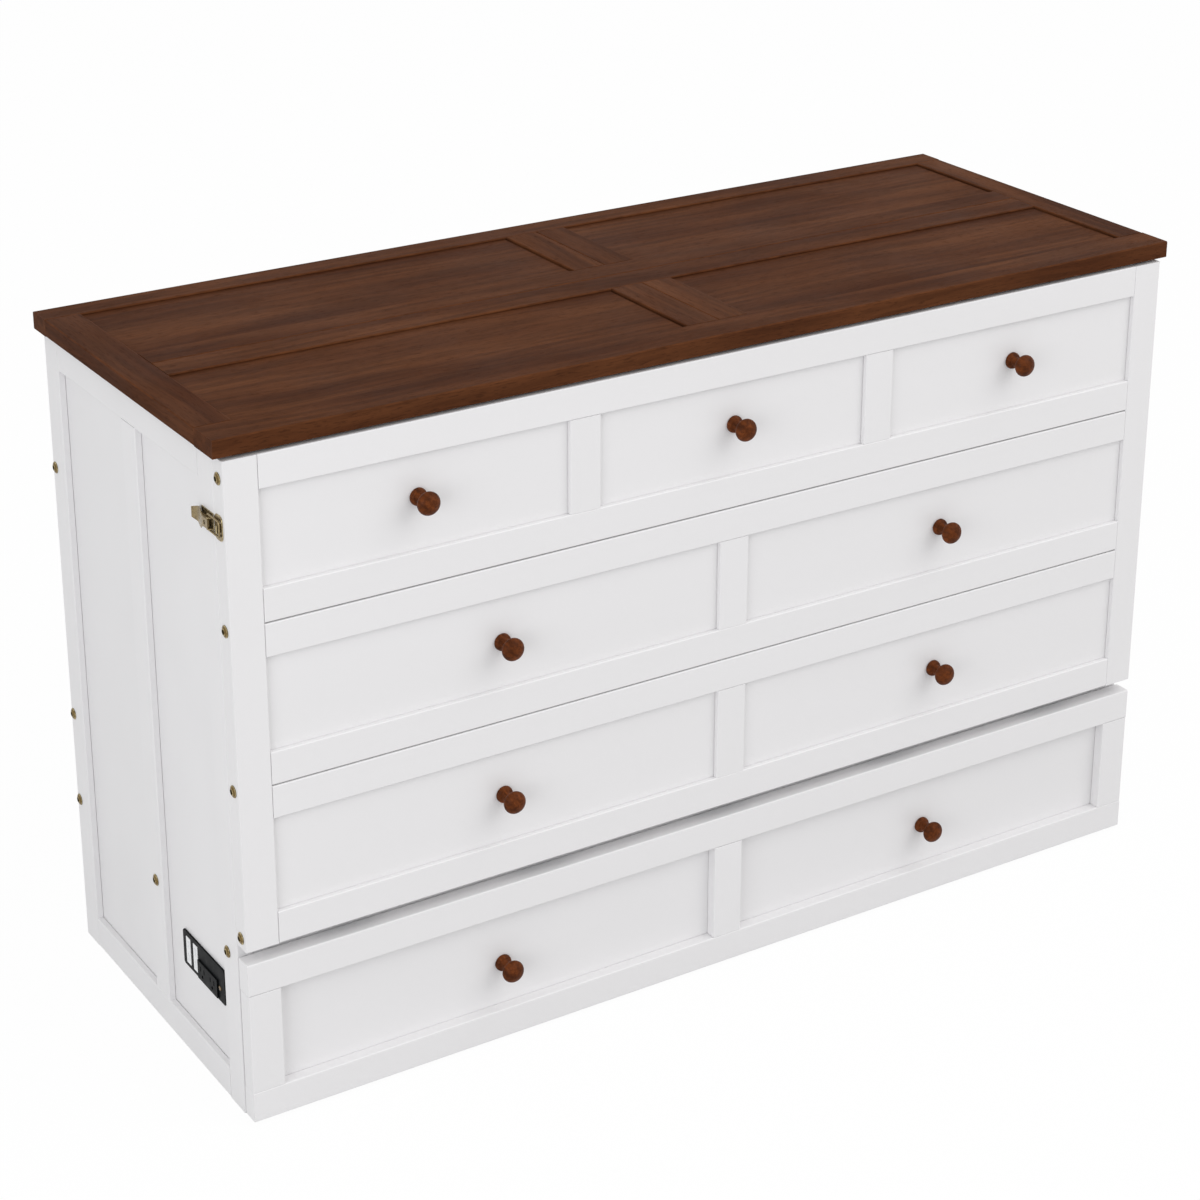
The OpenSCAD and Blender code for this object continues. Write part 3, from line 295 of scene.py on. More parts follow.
woodFinish = {
    "walnutStain": {"dark": "#28150D", "body": "#4C2A18", "light": "#694027", "rub": "#704328", "gloss": 0.02,
                    "figure": 11.0, "streaks": 75.0, "pores": 560.0, "low": 0.5, "high": 0.62, "pore": 0.38,
                    "streak": 0.45},
    "knobStain": {"dark": "#2A1107", "body": "#4D260F", "light": "#783F1D", "rub": "#7E4522", "gloss": 0.07,
                  "figure": 60.0, "streaks": 260.0, "pores": 900.0, "low": 0.36, "high": 0.5, "pore": 0.28,
                  "streak": 0.5},
    "birch": {"dark": "#C4AB82", "body": "#DCC9A4", "light": "#E8DABC", "rub": "#ECE0C6", "gloss": 0.25,
              "figure": 9.0, "streaks": 140.0, "pores": 700.0, "low": 0.5, "high": 0.66, "pore": 0.2, "streak": 0.35},
    "pine": {"dark": "#B98B55", "body": "#D8B07A", "light": "#E6C796", "rub": "#EBD3A8", "gloss": 0.3,
             "figure": 16.0, "streaks": 110.0, "pores": 600.0, "low": 0.5, "high": 0.66, "pore": 0.25, "streak": 0.5},
}
woodRelief = {"rubShare": 0.6, "poreRoughness": 0.25, "streakHeight": 0.3, "depth": 0.00025}


def woodMaterial(name, finish, turn):
    f, r = woodFinish[finish], woodRelief
    m, t, bsdf, vec, edge = startMaterial(name, turn)
    bsdf.inputs["Specular IOR Level"].default_value = f["gloss"]
    grain = useGroup(t, grainGroup, -500, 0, Vector=vec, Seed=attribute(t, "boardSeed", -800, -400),
                     Figure=f["figure"], Streaks=f["streaks"], Pores=f["pores"])
    base = mixColour(t, grain.outputs["Figure"], rgb(f["body"]), rgb(f["light"]), -200, 200)
    streak = combine(t, "MULTIPLY", grain.outputs["Streak"], f["streak"], -200, -50)
    base = mixColour(t, streak, base, rgb(f["dark"]), 0, 200)
    pore = combine(t, "MULTIPLY", grain.outputs["Pore"], f["pore"], -200, -200)
    base = mixColour(t, pore, base, rgb(f["dark"]), 200, 200)
    rub = useGroup(t, edgeGroup, -500, -400, Vector=vec, Edge=edge)
    base = mixColour(t, combine(t, "MULTIPLY", rub.outputs[0], r["rubShare"], 200, -300), base, rgb(f["rub"]), 400, 200)
    t.links.new(base, bsdf.inputs["Base Color"])
    haze = useGroup(t, hazeGroup, -500, -700, Vector=vec, Low=f["low"], High=f["high"])
    dull = combine(t, "MULTIPLY", pore, r["poreRoughness"], 200, -600)
    t.links.new(combine(t, "ADD", haze.outputs[0], dull, 400, -100), bsdf.inputs["Roughness"])
    raised = combine(t, "MULTIPLY", grain.outputs["Streak"], r["streakHeight"], 200, -750)
    bumpInto(t, bsdf, combine(t, "SUBTRACT", raised, pore, 400, -600), r["depth"])
    return m


paintFinish = {"colour": "#EBEAEB", "thin": "#E3E2E2", "rub": "#F0F0F0", "low": 0.34, "high": 0.46,
               "Figure": 5.0, "Streaks": 60.0, "Pores": 260.0, "thinShare": 0.22, "rubShare": 0.2, "haze": 9.0,
               "spray": 420.0, "streakHeight": 0.5, "depth": 0.00006}


def paintMaterial(name, turn):
    f = paintFinish
    m, t, bsdf, vec, edge = startMaterial(name, turn)
    grain = useGroup(t, grainGroup, -500, 0, Vector=vec, Seed=attribute(t, "boardSeed", -800, -400),
                     Figure=f["Figure"], Streaks=f["Streaks"], Pores=f["Pores"])
    thin = combine(t, "MULTIPLY", grain.outputs["Figure"], f["thinShare"], -200, 100)
    base = mixColour(t, thin, rgb(f["colour"]), rgb(f["thin"]), 0, 200)
    rub = useGroup(t, edgeGroup, -500, -400, Vector=vec, Edge=edge)
    base = mixColour(t, combine(t, "MULTIPLY", rub.outputs[0], f["rubShare"], 0, -300), base, rgb(f["rub"]), 300, 200)
    t.links.new(base, bsdf.inputs["Base Color"])
    haze = useGroup(t, hazeGroup, -500, -700, Vector=vec, Scale=f["haze"], Low=f["low"], High=f["high"])
    t.links.new(haze.outputs[0], bsdf.inputs["Roughness"])
    spray = shape(t, "ShaderNodeTexNoise", -200, -700, Vector=vec, Scale=f["spray"], Detail=2.0)
    raised = combine(t, "MULTIPLY", grain.outputs["Streak"], f["streakHeight"], 200, -750)
    bumpInto(t, bsdf, combine(t, "ADD", raised, spray.outputs["Fac"], 400, -600), f["depth"])
    return m


metalFinish = {  # painted shade: the dark tone laid on recesses and rims, marked on the mesh
    "antiqueBrass": {"dark": "#4A3D26", "body": "#B5A076", "light": "#E0D0A2", "low": 0.16, "high": 0.38,
                     "patch": 260.0, "hollowShade": "#2B2212", "metal": 0.72},
    "boltBrass": {"dark": "#392B16", "body": "#8D7547", "light": "#E6D6A4", "low": 0.14, "high": 0.34,
                  "patch": 420.0, "hollowShade": "#1A1308", "metal": 0.9},
    "zincSteel": {"dark": "#8C9093", "body": "#B9BCBE", "light": "#D6D8DA", "low": 0.22, "high": 0.4,
                  "patch": 90.0, "hollowShade": "#3B3D3F", "metal": 1.0},
}
metalWear = {"patch": 220.0, "scratches": 900.0, "depth": 0.00004}


def metalMaterial(name):
    f = metalFinish[name]
    m, t, bsdf, vec, edge = startMaterial(name)
    bsdf.inputs["Metallic"].default_value = f["metal"]
    haze = useGroup(t, hazeGroup, -500, 0, Vector=vec, Scale=f["patch"], Low=f["low"], High=f["high"])
    base = mixColour(t, haze.outputs["Mask"], rgb(f["dark"]), rgb(f["body"]), 0, 200)
    rub = useGroup(t, edgeGroup, -500, -400, Vector=vec, Edge=edge, Patch=metalWear["patch"])
    base = mixColour(t, rub.outputs[0], base, rgb(f["light"]), 300, 200)
    # painted shade darkens the marked recesses and rims of the heads
    base = mixColour(t, attribute(t, "hollowShade", 300, 500), base, rgb(f["hollowShade"]), 500, 200)
    t.links.new(base, bsdf.inputs["Base Color"])
    t.links.new(haze.outputs["Roughness"], bsdf.inputs["Roughness"])
    scratch = shape(t, "ShaderNodeTexNoise", -200, -700, Vector=vec, Scale=metalWear["scratches"], Detail=2.0)
    bumpInto(t, bsdf, scratch.outputs["Fac"], metalWear["depth"])
    return m


plasticFinish = {
    "blackPlastic": {"colour": "#090A0B", "other": "#121416", "gloss": 0.07, "low": 0.42, "high": 0.56,
                     "grain": 1400.0, "depth": 0.00003},
    "whitePlastic": {"colour": "#F4F5F6", "other": "#ECEDEF", "gloss": 0.5, "low": 0.2, "high": 0.3,
                     "grain": 900.0, "depth": 0.00001},
    "amberLens": {"colour": "#54401F", "other": "#7A5E30", "gloss": 0.4, "low": 0.12, "high": 0.2,
                  "grain": 700.0, "depth": 0.00002},
}
plasticWear = {"patch": 300.0, "haze": 60.0, "rubShare": 0.4}


def plasticMaterial(name):
    f, w = plasticFinish[name], plasticWear
    m, t, bsdf, vec, edge = startMaterial(name)
    bsdf.inputs["Specular IOR Level"].default_value = f["gloss"]
    haze = useGroup(t, hazeGroup, -500, 0, Vector=vec, Scale=w["haze"], Low=f["low"], High=f["high"])
    rub = useGroup(t, edgeGroup, -500, -400, Vector=vec, Edge=edge, Patch=w["patch"])
    base = mixColour(t, haze.outputs["Mask"], rgb(f["colour"]), rgb(f["other"]), 0, 200)
    base = mixColour(t, combine(t, "MULTIPLY", rub.outputs[0], w["rubShare"], 0, -300), base, rgb(f["other"]), 300, 200)
    t.links.new(base, bsdf.inputs["Base Color"])
    t.links.new(haze.outputs["Roughness"], bsdf.inputs["Roughness"])
    spark = shape(t, "ShaderNodeTexNoise", -200, -700, Vector=vec, Scale=f["grain"], Detail=1.0)
    bumpInto(t, bsdf, spark.outputs["Fac"], f["depth"])
    return m


alongX, alongY, alongZ = (0, 0, 0), (0, 0, 90), (0, 90, 0)
finishes = {
    "walnutX": woodMaterial("walnutAlongX", "walnutStain", alongX),
    "walnutY": woodMaterial("walnutAlongY", "walnutStain", alongY),
    "knobWood": woodMaterial("knobWood", "knobStain", alongY),
    "pineX": woodMaterial("pineAlongX", "pine", alongX),
    "pineY": woodMaterial("pineAlongY", "pine", alongY),
    "pineZ": woodMaterial("pineAlongZ", "pine", alongZ),
    "birchX": woodMaterial("birchAlongX", "birch", alongX),
    "paintX": paintMaterial("whitePaintAlongX", alongX),
    "paintY": paintMaterial("whitePaintAlongY", alongY),
    "paintZ": paintMaterial("whitePaintAlongZ", alongZ),
    "brass": metalMaterial("antiqueBrass"),
    "bolt": metalMaterial("boltBrass"),
    "steel": metalMaterial("zincSteel"),
    "black": plasticMaterial("blackPlastic"),
    "white": plasticMaterial("whitePlastic"),
    "lens": plasticMaterial("amberLens"),
}
print("materials ready:", len(finishes))


# Boards with rounded edges
boardWork = {"radius": 0.0011, "endShare": 0.3, "segments": 3, "sharpAngle": math.radians(25),
             "flatAngle": math.radians(0.6), "weld": 1e-5, "endReach": 0.0001, "alongShare": 0.9}


def seedOf(c):
    # a number from 0 to 1 that depends on the board's place alone
    return math.sin(c.x * 129.898 + c.y * 782.33 + c.z * 377.19) * 43758.5453 % 1


def weldedCopy(node):
    bm = bmesh.new()
    bm.from_mesh(nodes[node].data)
    bmesh.ops.remove_doubles(bm, verts=bm.verts, dist=boardWork["weld"])
    return bm


def islandsOf(bm):
    # the loose solids of a mesh, each with its lowest and highest corner
    found, seen = [], set()
    for first in bm.verts:
        if first in seen:
            continue
        island, stack = [], [first]
        seen.add(first)
        while stack:
            v = stack.pop()
            island.append(v)
            for e in v.link_edges:
                o = e.other_vert(v)
                if o not in seen:
                    seen.add(o)
                    stack.append(o)
        found.append((island, Vector([min(v.co[i] for v in island) for i in range(3)]),
                      Vector([max(v.co[i] for v in island) for i in range(3)])))
    return found


def solidsOf(node):
    # corners of each solid in a CAD node
    bm = weldedCopy(node)
    boxes = [(low, high) for island, low, high in islandsOf(bm)]
    bm.free()
    return boxes


def roundedCopy(name, source, radius=boardWork["radius"], endShare=boardWork["endShare"], seam=0.0, slim=0.0):
    # CAD boards copied, their long arrises rounded and their end arrises barely touched,
    # with seam cut off each end and slim off each face
    bm = weldedCopy(source)
    bmesh.ops.dissolve_limit(bm, angle_limit=boardWork["flatAngle"], verts=bm.verts, edges=bm.edges)
    weight = bm.edges.layers.float.new("bevel_weight_edge")
    seeds = bm.verts.layers.float.new("boardSeed")
    for island, low, high in islandsOf(bm):
        size = high - low
        long = max(range(3), key=lambda i: size[i])
        thin = min(range(3), key=lambda i: size[i])
        for v in island:
            v[seeds] = seedOf((low + high) / 2)
            if seam and abs(v.co[long] - low[long]) < boardWork["endReach"]:
                v.co[long] += seam
            elif seam and abs(v.co[long] - high[long]) < boardWork["endReach"]:
                v.co[long] -= seam
            v.co[thin] += slim if v.co[thin] < (low[thin] + high[thin]) / 2 else -slim
        for e in {e for v in island for e in v.link_edges}:
            if len(e.link_faces) != 2:
                continue
            angle = e.calc_face_angle_signed(0)
            if abs(angle) > boardWork["sharpAngle"]:
                e.smooth = False
            if angle > boardWork["sharpAngle"]:
                d = (e.verts[0].co - e.verts[1].co).normalized()
                e[weight] = 1.0 if abs(d[long]) > boardWork["alongShare"] else endShare
                e.smooth = True
    mesh = bpy.data.meshes.new(name)
    bm.to_mesh(mesh)
    bm.free()
    for p in mesh.polygons:
        p.use_smooth = True
        p.material_index = 0
    obj = bpy.data.objects.new(name, mesh)
    bpy.context.scene.collection.objects.link(obj)
    # the second slot only tells the rounded strips apart
    for i in range(2):
        mesh.materials.append(finishes["paintX"])
    bevel = obj.modifiers.new("rounding", "BEVEL")
    bevel.width, bevel.segments, bevel.limit_method = radius, boardWork["segments"], "WEIGHT"
    bevel.material, bevel.use_clamp_overlap = 1, True
    shading = obj.modifiers.new("shading", "WEIGHTED_NORMAL")
    shading.keep_sharp, shading.weight = True, 100
    return settle(obj)


def flatten(obj):
    # the modifiers' result as a plain mesh, and the modifiers gone
    bpy.context.view_layer.update()
    done = bpy.data.meshes.new_from_object(obj.evaluated_get(bpy.context.evaluated_depsgraph_get()))
    done.name = obj.name
    obj.modifiers.clear()
    obj.data = done
    return done


def settle(obj):
    # the rounded strips are marked for the edge effects
    done = flatten(obj)
    mask = done.attributes.new("edgeMask", "FLOAT", "CORNER")
    values = [0.0] * len(done.loops)
    for p in done.polygons:
        if p.material_index == 1:
            for i in p.loop_indices:
                values[i] = 1.0
        p.material_index = 0
    mask.data.foreach_set("value", values)
    while len(done.materials) > 1:
        done.materials.pop()
    return obj


def dress(obj, finish, body, source=None):
    obj.data.materials.clear()
    obj.data.materials.append(finishes[finish])
    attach(obj, body)
    if source:
        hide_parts(source)


boardPieces = [  # piece, CAD node, finish, body, what differs from the usual board, in metres
    ("leftFrameStiles", "left_side_stiles", "paintZ", "cabinet", {"radius": 0.0018}),
    ("leftFrameRails", "left_side_rails", "paintY", "cabinet", {"radius": 0.0018, "seam": 0.0002}),
    ("leftFramePanels", "left_side_panels", "paintZ", "cabinet", {"slim": 0.0004}),
    ("rightFrameStiles", "right_side_stiles", "paintZ", "cabinet", {"radius": 0.0018}),
    ("rightFrameRails", "right_side_rails", "paintY", "cabinet", {"radius": 0.0018, "seam": 0.0002}),
    ("rightFramePanels", "right_side_panels", "paintZ", "cabinet", {"slim": 0.0004}),
    ("rearStiles", "back_stiles", "paintZ", "cabinet", {}),
    ("rearRails", "back_rails", "paintX", "cabinet", {}),
    ("rearPanels", "back_panels", "paintX", "cabinet", {}),
    ("deckRails", "deck_side_rails", "paintY", "cabinet", {}),
    ("deckCrossRails", "deck_cross_rails", "paintX", "cabinet", {}),
    ("deckBeam", "deck_centre_beam", "pineY", "cabinet", {}),
    ("lidLongBoards", "lid_long_boards", "walnutX", "lid", {"radius": 0.002}),
    ("lidEndBoards", "lid_end_boards", "walnutY", "lid", {"radius": 0.0018}),
    ("lidCentreBoards", "lid_centre_boards", "walnutX", "lid", {"radius": 0.0016}),
    ("lidCrossBoards", "lid_cross_boards", "walnutY", "lid", {"radius": 0.0016}),
    ("lidPanels", "lid_panels", "walnutX", "lid", {"radius": 0.0008}),
    ("lidBattens", "lid_battens", "walnutY", "lid", {"radius": 0.002}),
    ("frontOuterStiles", "front_stiles", "paintZ", "front", {"radius": 0.0015}),
    ("frontRowRails", "front_rails", "paintX", "front", {"radius": 0.0015, "endShare": 0.75, "seam": 0.00035}),
    ("frontRowDividers", "front_dividers", "paintZ", "front", {"radius": 0.0015, "endShare": 0.5, "seam": 0.0001}),
    ("frontRowPanels", "front_panels", "paintX", "front", {"slim": 0.00025}),
    ("frontBackSlats", "front_slats", "pineX", "front", {"radius": 0.002}),
    ("footRails", "foot_side_rails", "pineZ", "foot", {"radius": 0.002}),
    ("footEndRails", "foot_end_rails", "pineX", "foot", {"radius": 0.002}),
    ("footSlats", "foot_slats", "pineX", "foot", {"radius": 0.002}),
    ("nearLegFrame", "near_legs", "pineZ", "near_leg_frame", {"radius": 0.002}),
    ("farLegFrame", "far_legs", "pineZ", "far_leg_frame", {"radius": 0.002}),
    ("drawerRails", "drawer_front_rails", "paintX", "drawer", {"radius": 0.0015, "endShare": 0.75}),
    ("drawerStiles", "drawer_front_stiles", "paintZ", "drawer", {"radius": 0.0015, "endShare": 0.75, "seam": 0.00025}),
    ("drawerPanels", "drawer_front_panels", "paintX", "drawer", {"slim": 0.0003}),
    ("drawerWalls", "drawer_walls", "birchX", "drawer", {"radius": 0.0015}),
    ("drawerFloor", "drawer_bottom", "birchX", "drawer", {"radius": 0.0006}),
]
for piece, source, finish, body, work in boardPieces:
    dress(roundedCopy(piece, source, **work), finish, body, source)
print("boards ready:", len(boardPieces))


# Turned, stamped and moulded parts
def growTree(name, sockets):
    g = bpy.data.node_groups.new(name, "GeometryNodeTree")
    g.interface.new_socket(name="Geometry", in_out="INPUT", socket_type="NodeSocketGeometry")
    for label, kind, value in sockets + [("Finish", "Material", None)]:
        s = g.interface.new_socket(name=label, in_out="INPUT", socket_type="NodeSocket" + kind)
        if value is not None:
            s.default_value = value
    g.interface.new_socket(name="Geometry", in_out="OUTPUT", socket_type="NodeSocketGeometry")
    return g, addNode(g, "NodeGroupInput", -1800, 0).outputs


def offAxis(g, x, y):
    # each point's place, and its distance from the Z axis
    place = addNode(g, "GeometryNodeInputPosition", x - 150, y)
    spot = shape(g, "ShaderNodeSeparateXYZ", x, y, Vector=place.outputs[0])
    flat = vector(g, spot.outputs[0], spot.outputs[1], 0.0, x + 150, y)
    away = shape(g, "ShaderNodeVectorMath", x + 300, y, {"operation": "LENGTH"}, Vector=flat)
    return spot.outputs, away.outputs["Value"]


def standOnPoints(g, i, piece):
    # the piece on every point along its aim, turned about it by chance
    aim = addNode(g, "GeometryNodeInputNamedAttribute", 900, -400, data_type="FLOAT_VECTOR", Name="aim")
    face = shape(g, "FunctionNodeAlignRotationToVector", 1050, -400, {"axis": "Z"}, Vector=aim.outputs["Attribute"])
    spin = addNode(g, "FunctionNodeRandomValue", 900, -600, data_type="FLOAT")
    spin.inputs[2].default_value = 0.0
    spin.inputs[3].default_value = math.tau
    g.links.new(i["Seed"], spin.inputs["Seed"])
    twist = shape(g, "FunctionNodeEulerToRotation", 1050, -600, Euler=vector(g, 0.0, 0.0, spin.outputs[1], 980, -700))
    both = shape(g, "FunctionNodeRotateRotation", 1200, -400, {"rotation_space": "LOCAL"}, Rotation=face.outputs[0],
                 Rotate_By=twist.outputs[0])
    stood = shape(g, "GeometryNodeInstanceOnPoints", 1300, 0, Points=i["Geometry"], Instance=piece,
                  Rotation=both.outputs[0])
    endTree(g, i, stood.outputs[0])


creases = {"sharp": 0.7, "worn": 0.45}


def endTree(g, i, instances):
    # seeded, realized, its worn edges marked, shaded and given its finish
    chance = addNode(g, "FunctionNodeRandomValue", 1300, -600, data_type="FLOAT")
    g.links.new(i["Seed"], chance.inputs["Seed"])
    seeded = shape(g, "GeometryNodeStoreNamedAttribute", 1450, 0, {"data_type": "FLOAT", "domain": "INSTANCE"},
                   Geometry=instances, Name="boardSeed", Value=chance.outputs[1])
    real = shape(g, "GeometryNodeRealizeInstances", 1600, 0, Geometry=seeded.outputs[0])
    bend = addNode(g, "GeometryNodeInputMeshEdgeAngle", 1450, -300)
    sharp = combine(g, "GREATER_THAN", bend.outputs["Unsigned Angle"], creases["sharp"], 1600, -300)
    worn = combine(g, "GREATER_THAN", bend.outputs["Signed Angle"], creases["worn"], 1600, -450)
    marked = shape(g, "GeometryNodeStoreNamedAttribute", 1700, 0, {"data_type": "FLOAT", "domain": "POINT"},
                   Geometry=real.outputs[0], Name="edgeMask", Value=worn)
    smooth = shape(g, "GeometryNodeSetShadeSmooth", 1800, 0, {"domain": "FACE"}, Geometry=marked.outputs[0])
    creased = shape(g, "GeometryNodeSetShadeSmooth", 1900, 0, {"domain": "EDGE"}, Geometry=smooth.outputs[0],
                    Selection=sharp, Shade_Smooth=False)
    painted = shape(g, "GeometryNodeSetMaterial", 2050, 0, Geometry=creased.outputs[0], Material=i["Finish"])
    g.links.new(painted.outputs[0], addNode(g, "NodeGroupOutput", 2200, 0).inputs[0])


# the last four numbers place the painted shade: where the rim starts, how dark it is painted, how far out round the
# recess and from what depth in it
headShape = {"domePower": 2.2, "stemShare": 0.33, "rimFrom": 0.9, "rimShade": 0.7, "recessReach": 1.1, "shadeFrom": 0.4}


def buildRoundHeads():
    # domed heads with a six-sided socket or a crossed recess, and a stem behind
    g, i = growTree("roundHeads", [
        ("Radius", "Float", 0.009), ("Rim", "Float", 0.0008), ("Dome", "Float", 0.002), ("Sides", "Int", 32),
        ("Rings", "Int", 4), ("Recess", "Float", 0.003), ("Depth", "Float", 0.001), ("Crossed", "Bool", False),
        ("Stem", "Float", 0.001), ("Seed", "Int", 1)])
    h = headShape
    disc = shape(g, "GeometryNodeMeshCylinder", -1500, 0, {"fill_type": "TRIANGLE_FAN"}, Vertices=i["Sides"],
                 Fill_Segments=i["Rings"], Radius=i["Radius"], Depth=i["Rim"])
    spot, away = offAxis(g, -1350, -300)
    share = combine(g, "POWER", combine(g, "DIVIDE", away, i["Radius"], -900, -300), h["domePower"], -750, -300)
    lift = combine(g, "MULTIPLY", combine(g, "SUBTRACT", 1.0, share, -600, -300), i["Dome"], -450, -300)
    domed = shape(g, "GeometryNodeSetPosition", -300, 0, Geometry=disc.outputs["Mesh"], Selection=disc.outputs["Top"],
                  Offset=vector(g, 0.0, 0.0, lift, -380, -300))
    halfRim = combine(g, "MULTIPLY", i["Rim"], 0.5, -900, -750)
    crown = combine(g, "ADD", halfRim, i["Dome"], -750, -750)
    deep = combine(g, "MULTIPLY", i["Depth"], 2.0, -900, -600)
    socket = shape(g, "GeometryNodeMeshCylinder", -600, -500, Vertices=6, Radius=i["Recess"], Depth=deep)
    wide = combine(g, "MULTIPLY", i["Recess"], 2.0, -900, -900)
    thin = combine(g, "MULTIPLY", i["Recess"], 0.5, -900, -1050)
    crossing = addNode(g, "GeometryNodeMeshBoolean", -400, -900, operation="UNION")
    for k, size in enumerate(((wide, thin), (thin, wide))):
        bar = shape(g, "GeometryNodeMeshCube", -600, -900 - 150 * k, Size=vector(g, *size, deep, -750, -900 - 150 * k))
        g.links.new(bar.outputs[0], crossing.inputs["Mesh 2"])
    cutter = shape(g, "GeometryNodeSwitch", -200, -700, {"input_type": "GEOMETRY"}, Switch=i["Crossed"],
                   False_=socket.outputs["Mesh"], True_=crossing.outputs[0])
    raised = shape(g, "GeometryNodeTransform", 0, -700, Geometry=cutter.outputs[0],
                   Translation=vector(g, 0.0, 0.0, crown, -600, -750))
    cut = addNode(g, "GeometryNodeMeshBoolean", 200, 0, operation="DIFFERENCE")
    g.links.new(domed.outputs[0], cut.inputs["Mesh 1"])
    g.links.new(raised.outputs[0], cut.inputs["Mesh 2"])
    # the recess and the rim are marked for painted shade, the rim painted lighter than the recess
    here, reach = offAxis(g, 150, 500)
    onRim = combine(g, "GREATER_THAN", combine(g, "DIVIDE", reach, i["Radius"], 450, 500), h["rimFrom"], 600, 500)
    mouth = combine(g, "MULTIPLY", i["Recess"], h["recessReach"], 450, 650)
    inside = combine(g, "LESS_THAN", reach, mouth, 600, 650)
    lip = combine(g, "SUBTRACT", crown, combine(g, "MULTIPLY", i["Depth"], h["shadeFrom"], 600, 950), 750, 900)
    low = combine(g, "LESS_THAN", here[2], lip, 900, 850)
    recessShade = combine(g, "MAXIMUM", combine(g, "MULTIPLY", inside, low, 1050, 700),
                   combine(g, "MULTIPLY", onRim, h["rimShade"], 750, 500), 1200, 600)
    shadeMarked = shape(g, "GeometryNodeStoreNamedAttribute", 400, 0, {"data_type": "FLOAT", "domain": "FACE"},
                    Geometry=cut.outputs[0], Name="hollowShade", Value=recessShade)
    thick = combine(g, "MULTIPLY", i["Radius"], h["stemShare"], 0, -1000)
    stem = shape(g, "GeometryNodeMeshCylinder", 200, -500, Vertices=12, Radius=thick, Depth=i["Stem"])
    sunk = combine(g, "MULTIPLY", combine(g, "ADD", i["Stem"], i["Rim"], 0, -1150), -0.5, 200, -1150)
    below = shape(g, "GeometryNodeTransform", 400, -500, Geometry=stem.outputs["Mesh"],
                  Translation=vector(g, 0.0, 0.0, sunk, 300, -900))
    whole = addNode(g, "GeometryNodeJoinGeometry", 550, 0)
    for part in (below, shadeMarked):
        g.links.new(part.outputs[0], whole.inputs[0])
    seated = shape(g, "GeometryNodeTransform", 750, 0, Geometry=whole.outputs[0],
                   Translation=vector(g, 0.0, 0.0, halfRim, 650, -300))
    standOnPoints(g, i, seated.outputs[0])
    return g


knobTurning = {"headDiameter": 0.034, "headLength": 0.0225, "footDiameter": 0.026, "neckDiameter": 0.015,
               "reach": 0.0305, "footStep": 0.0018, "footDome": 0.006, "footRound": 0.0008, "coveSteps": 6,
               "coveRadius": 0.0014, "neckRound": 0.0004, "neckStart": 0.0024, "sides": 48, "rows": 33, "weld": 0.00002}


def knobProfile(k):
    # radius and height up the knob: domed foot, straight neck, flattened ball
    head, foot, neck, half = k["headDiameter"] / 2, k["footDiameter"] / 2, k["neckDiameter"] / 2, k["headLength"] / 2
    low, soft = k["footStep"], k["footRound"]
    rows = [(0.0, 0.0), (foot - soft, 0.0), (foot, soft), (foot, low)]
    inner = neck + k["coveRadius"]
    for step in range(1, k["coveSteps"] + 1):
        a = math.pi / 2 * step / k["coveSteps"]
        rows.append((inner + (foot - inner) * math.cos(a), low + k["footDome"] * math.sin(a)))
    top = low + k["footDome"]
    rows += [(neck + k["neckRound"], top + soft), (neck, top + k["neckStart"])]
    start = math.acos(neck / head)
    count = k["rows"] - len(rows)
    for step in range(count):
        a = -start + (start + math.pi / 2) * step / (count - 1)
        rows.append((max(head * math.cos(a), 0.0), k["reach"] + half * math.sin(a)))
    return rows


def buildTurnedKnobs(k):
    # a sheet of points wound round the axis by two curves, radius and height, and stood on each point
    widest, tip = k["headDiameter"] / 2, k["reach"] + k["headLength"] / 2
    g, i = growTree("turnedKnobs", [("Widest", "Float", widest), ("Tip", "Float", tip), ("Sides", "Int", k["sides"]),
                                    ("Seed", "Int", 3)])
    around = combine(g, "ADD", i["Sides"], 1.0, -1600, -200)
    sheet = shape(g, "GeometryNodeMeshGrid", -1400, 0, Size_X=1.0, Size_Y=1.0, Vertices_X=around, Vertices_Y=k["rows"])
    spot = shape(g, "ShaderNodeSeparateXYZ", -1200, -300,
                 Vector=addNode(g, "GeometryNodeInputPosition", -1400, -300).outputs[0])
    angle = combine(g, "MULTIPLY", combine(g, "ADD", spot.outputs[0], 0.5, -1050, -200), math.tau, -900, -200)
    along = combine(g, "ADD", spot.outputs[1], 0.5, -1050, -400)
    rows = knobProfile(k)
    drawn = []
    for column, largest, label in ((0, widest, "Widest"), (1, tip, "Tip")):
        line = shape(g, "ShaderNodeFloatCurve", -850, -500 - 300 * column, Value=along)
        points = line.mapping.curves[0].points
        for n, row in enumerate(rows):
            x, y = n / (len(rows) - 1), row[column] / largest
            if n in (0, len(rows) - 1):
                point = points[0 if n == 0 else -1]
                point.location = (x, y)
            else:
                point = points.new(x, y)
            point.handle_type = "VECTOR"
        line.mapping.update()
        drawn.append(combine(g, "MULTIPLY", line.outputs[0], i[label], -550, -500 - 300 * column))
    sides = [combine(g, "MULTIPLY", combine(g, op, angle, 0.0, -700, y), drawn[0], -400, y)
             for op, y in (("COSINE", -100), ("SINE", -250))]
    wound = shape(g, "GeometryNodeSetPosition", -100, 0, Geometry=sheet.outputs["Mesh"],
                  Position=vector(g, *sides, drawn[1], -250, -200))
    closed = shape(g, "GeometryNodeMergeByDistance", 100, 0, Geometry=wound.outputs[0], Distance=k["weld"])
    standOnPoints(g, i, closed.outputs[0])
    return g


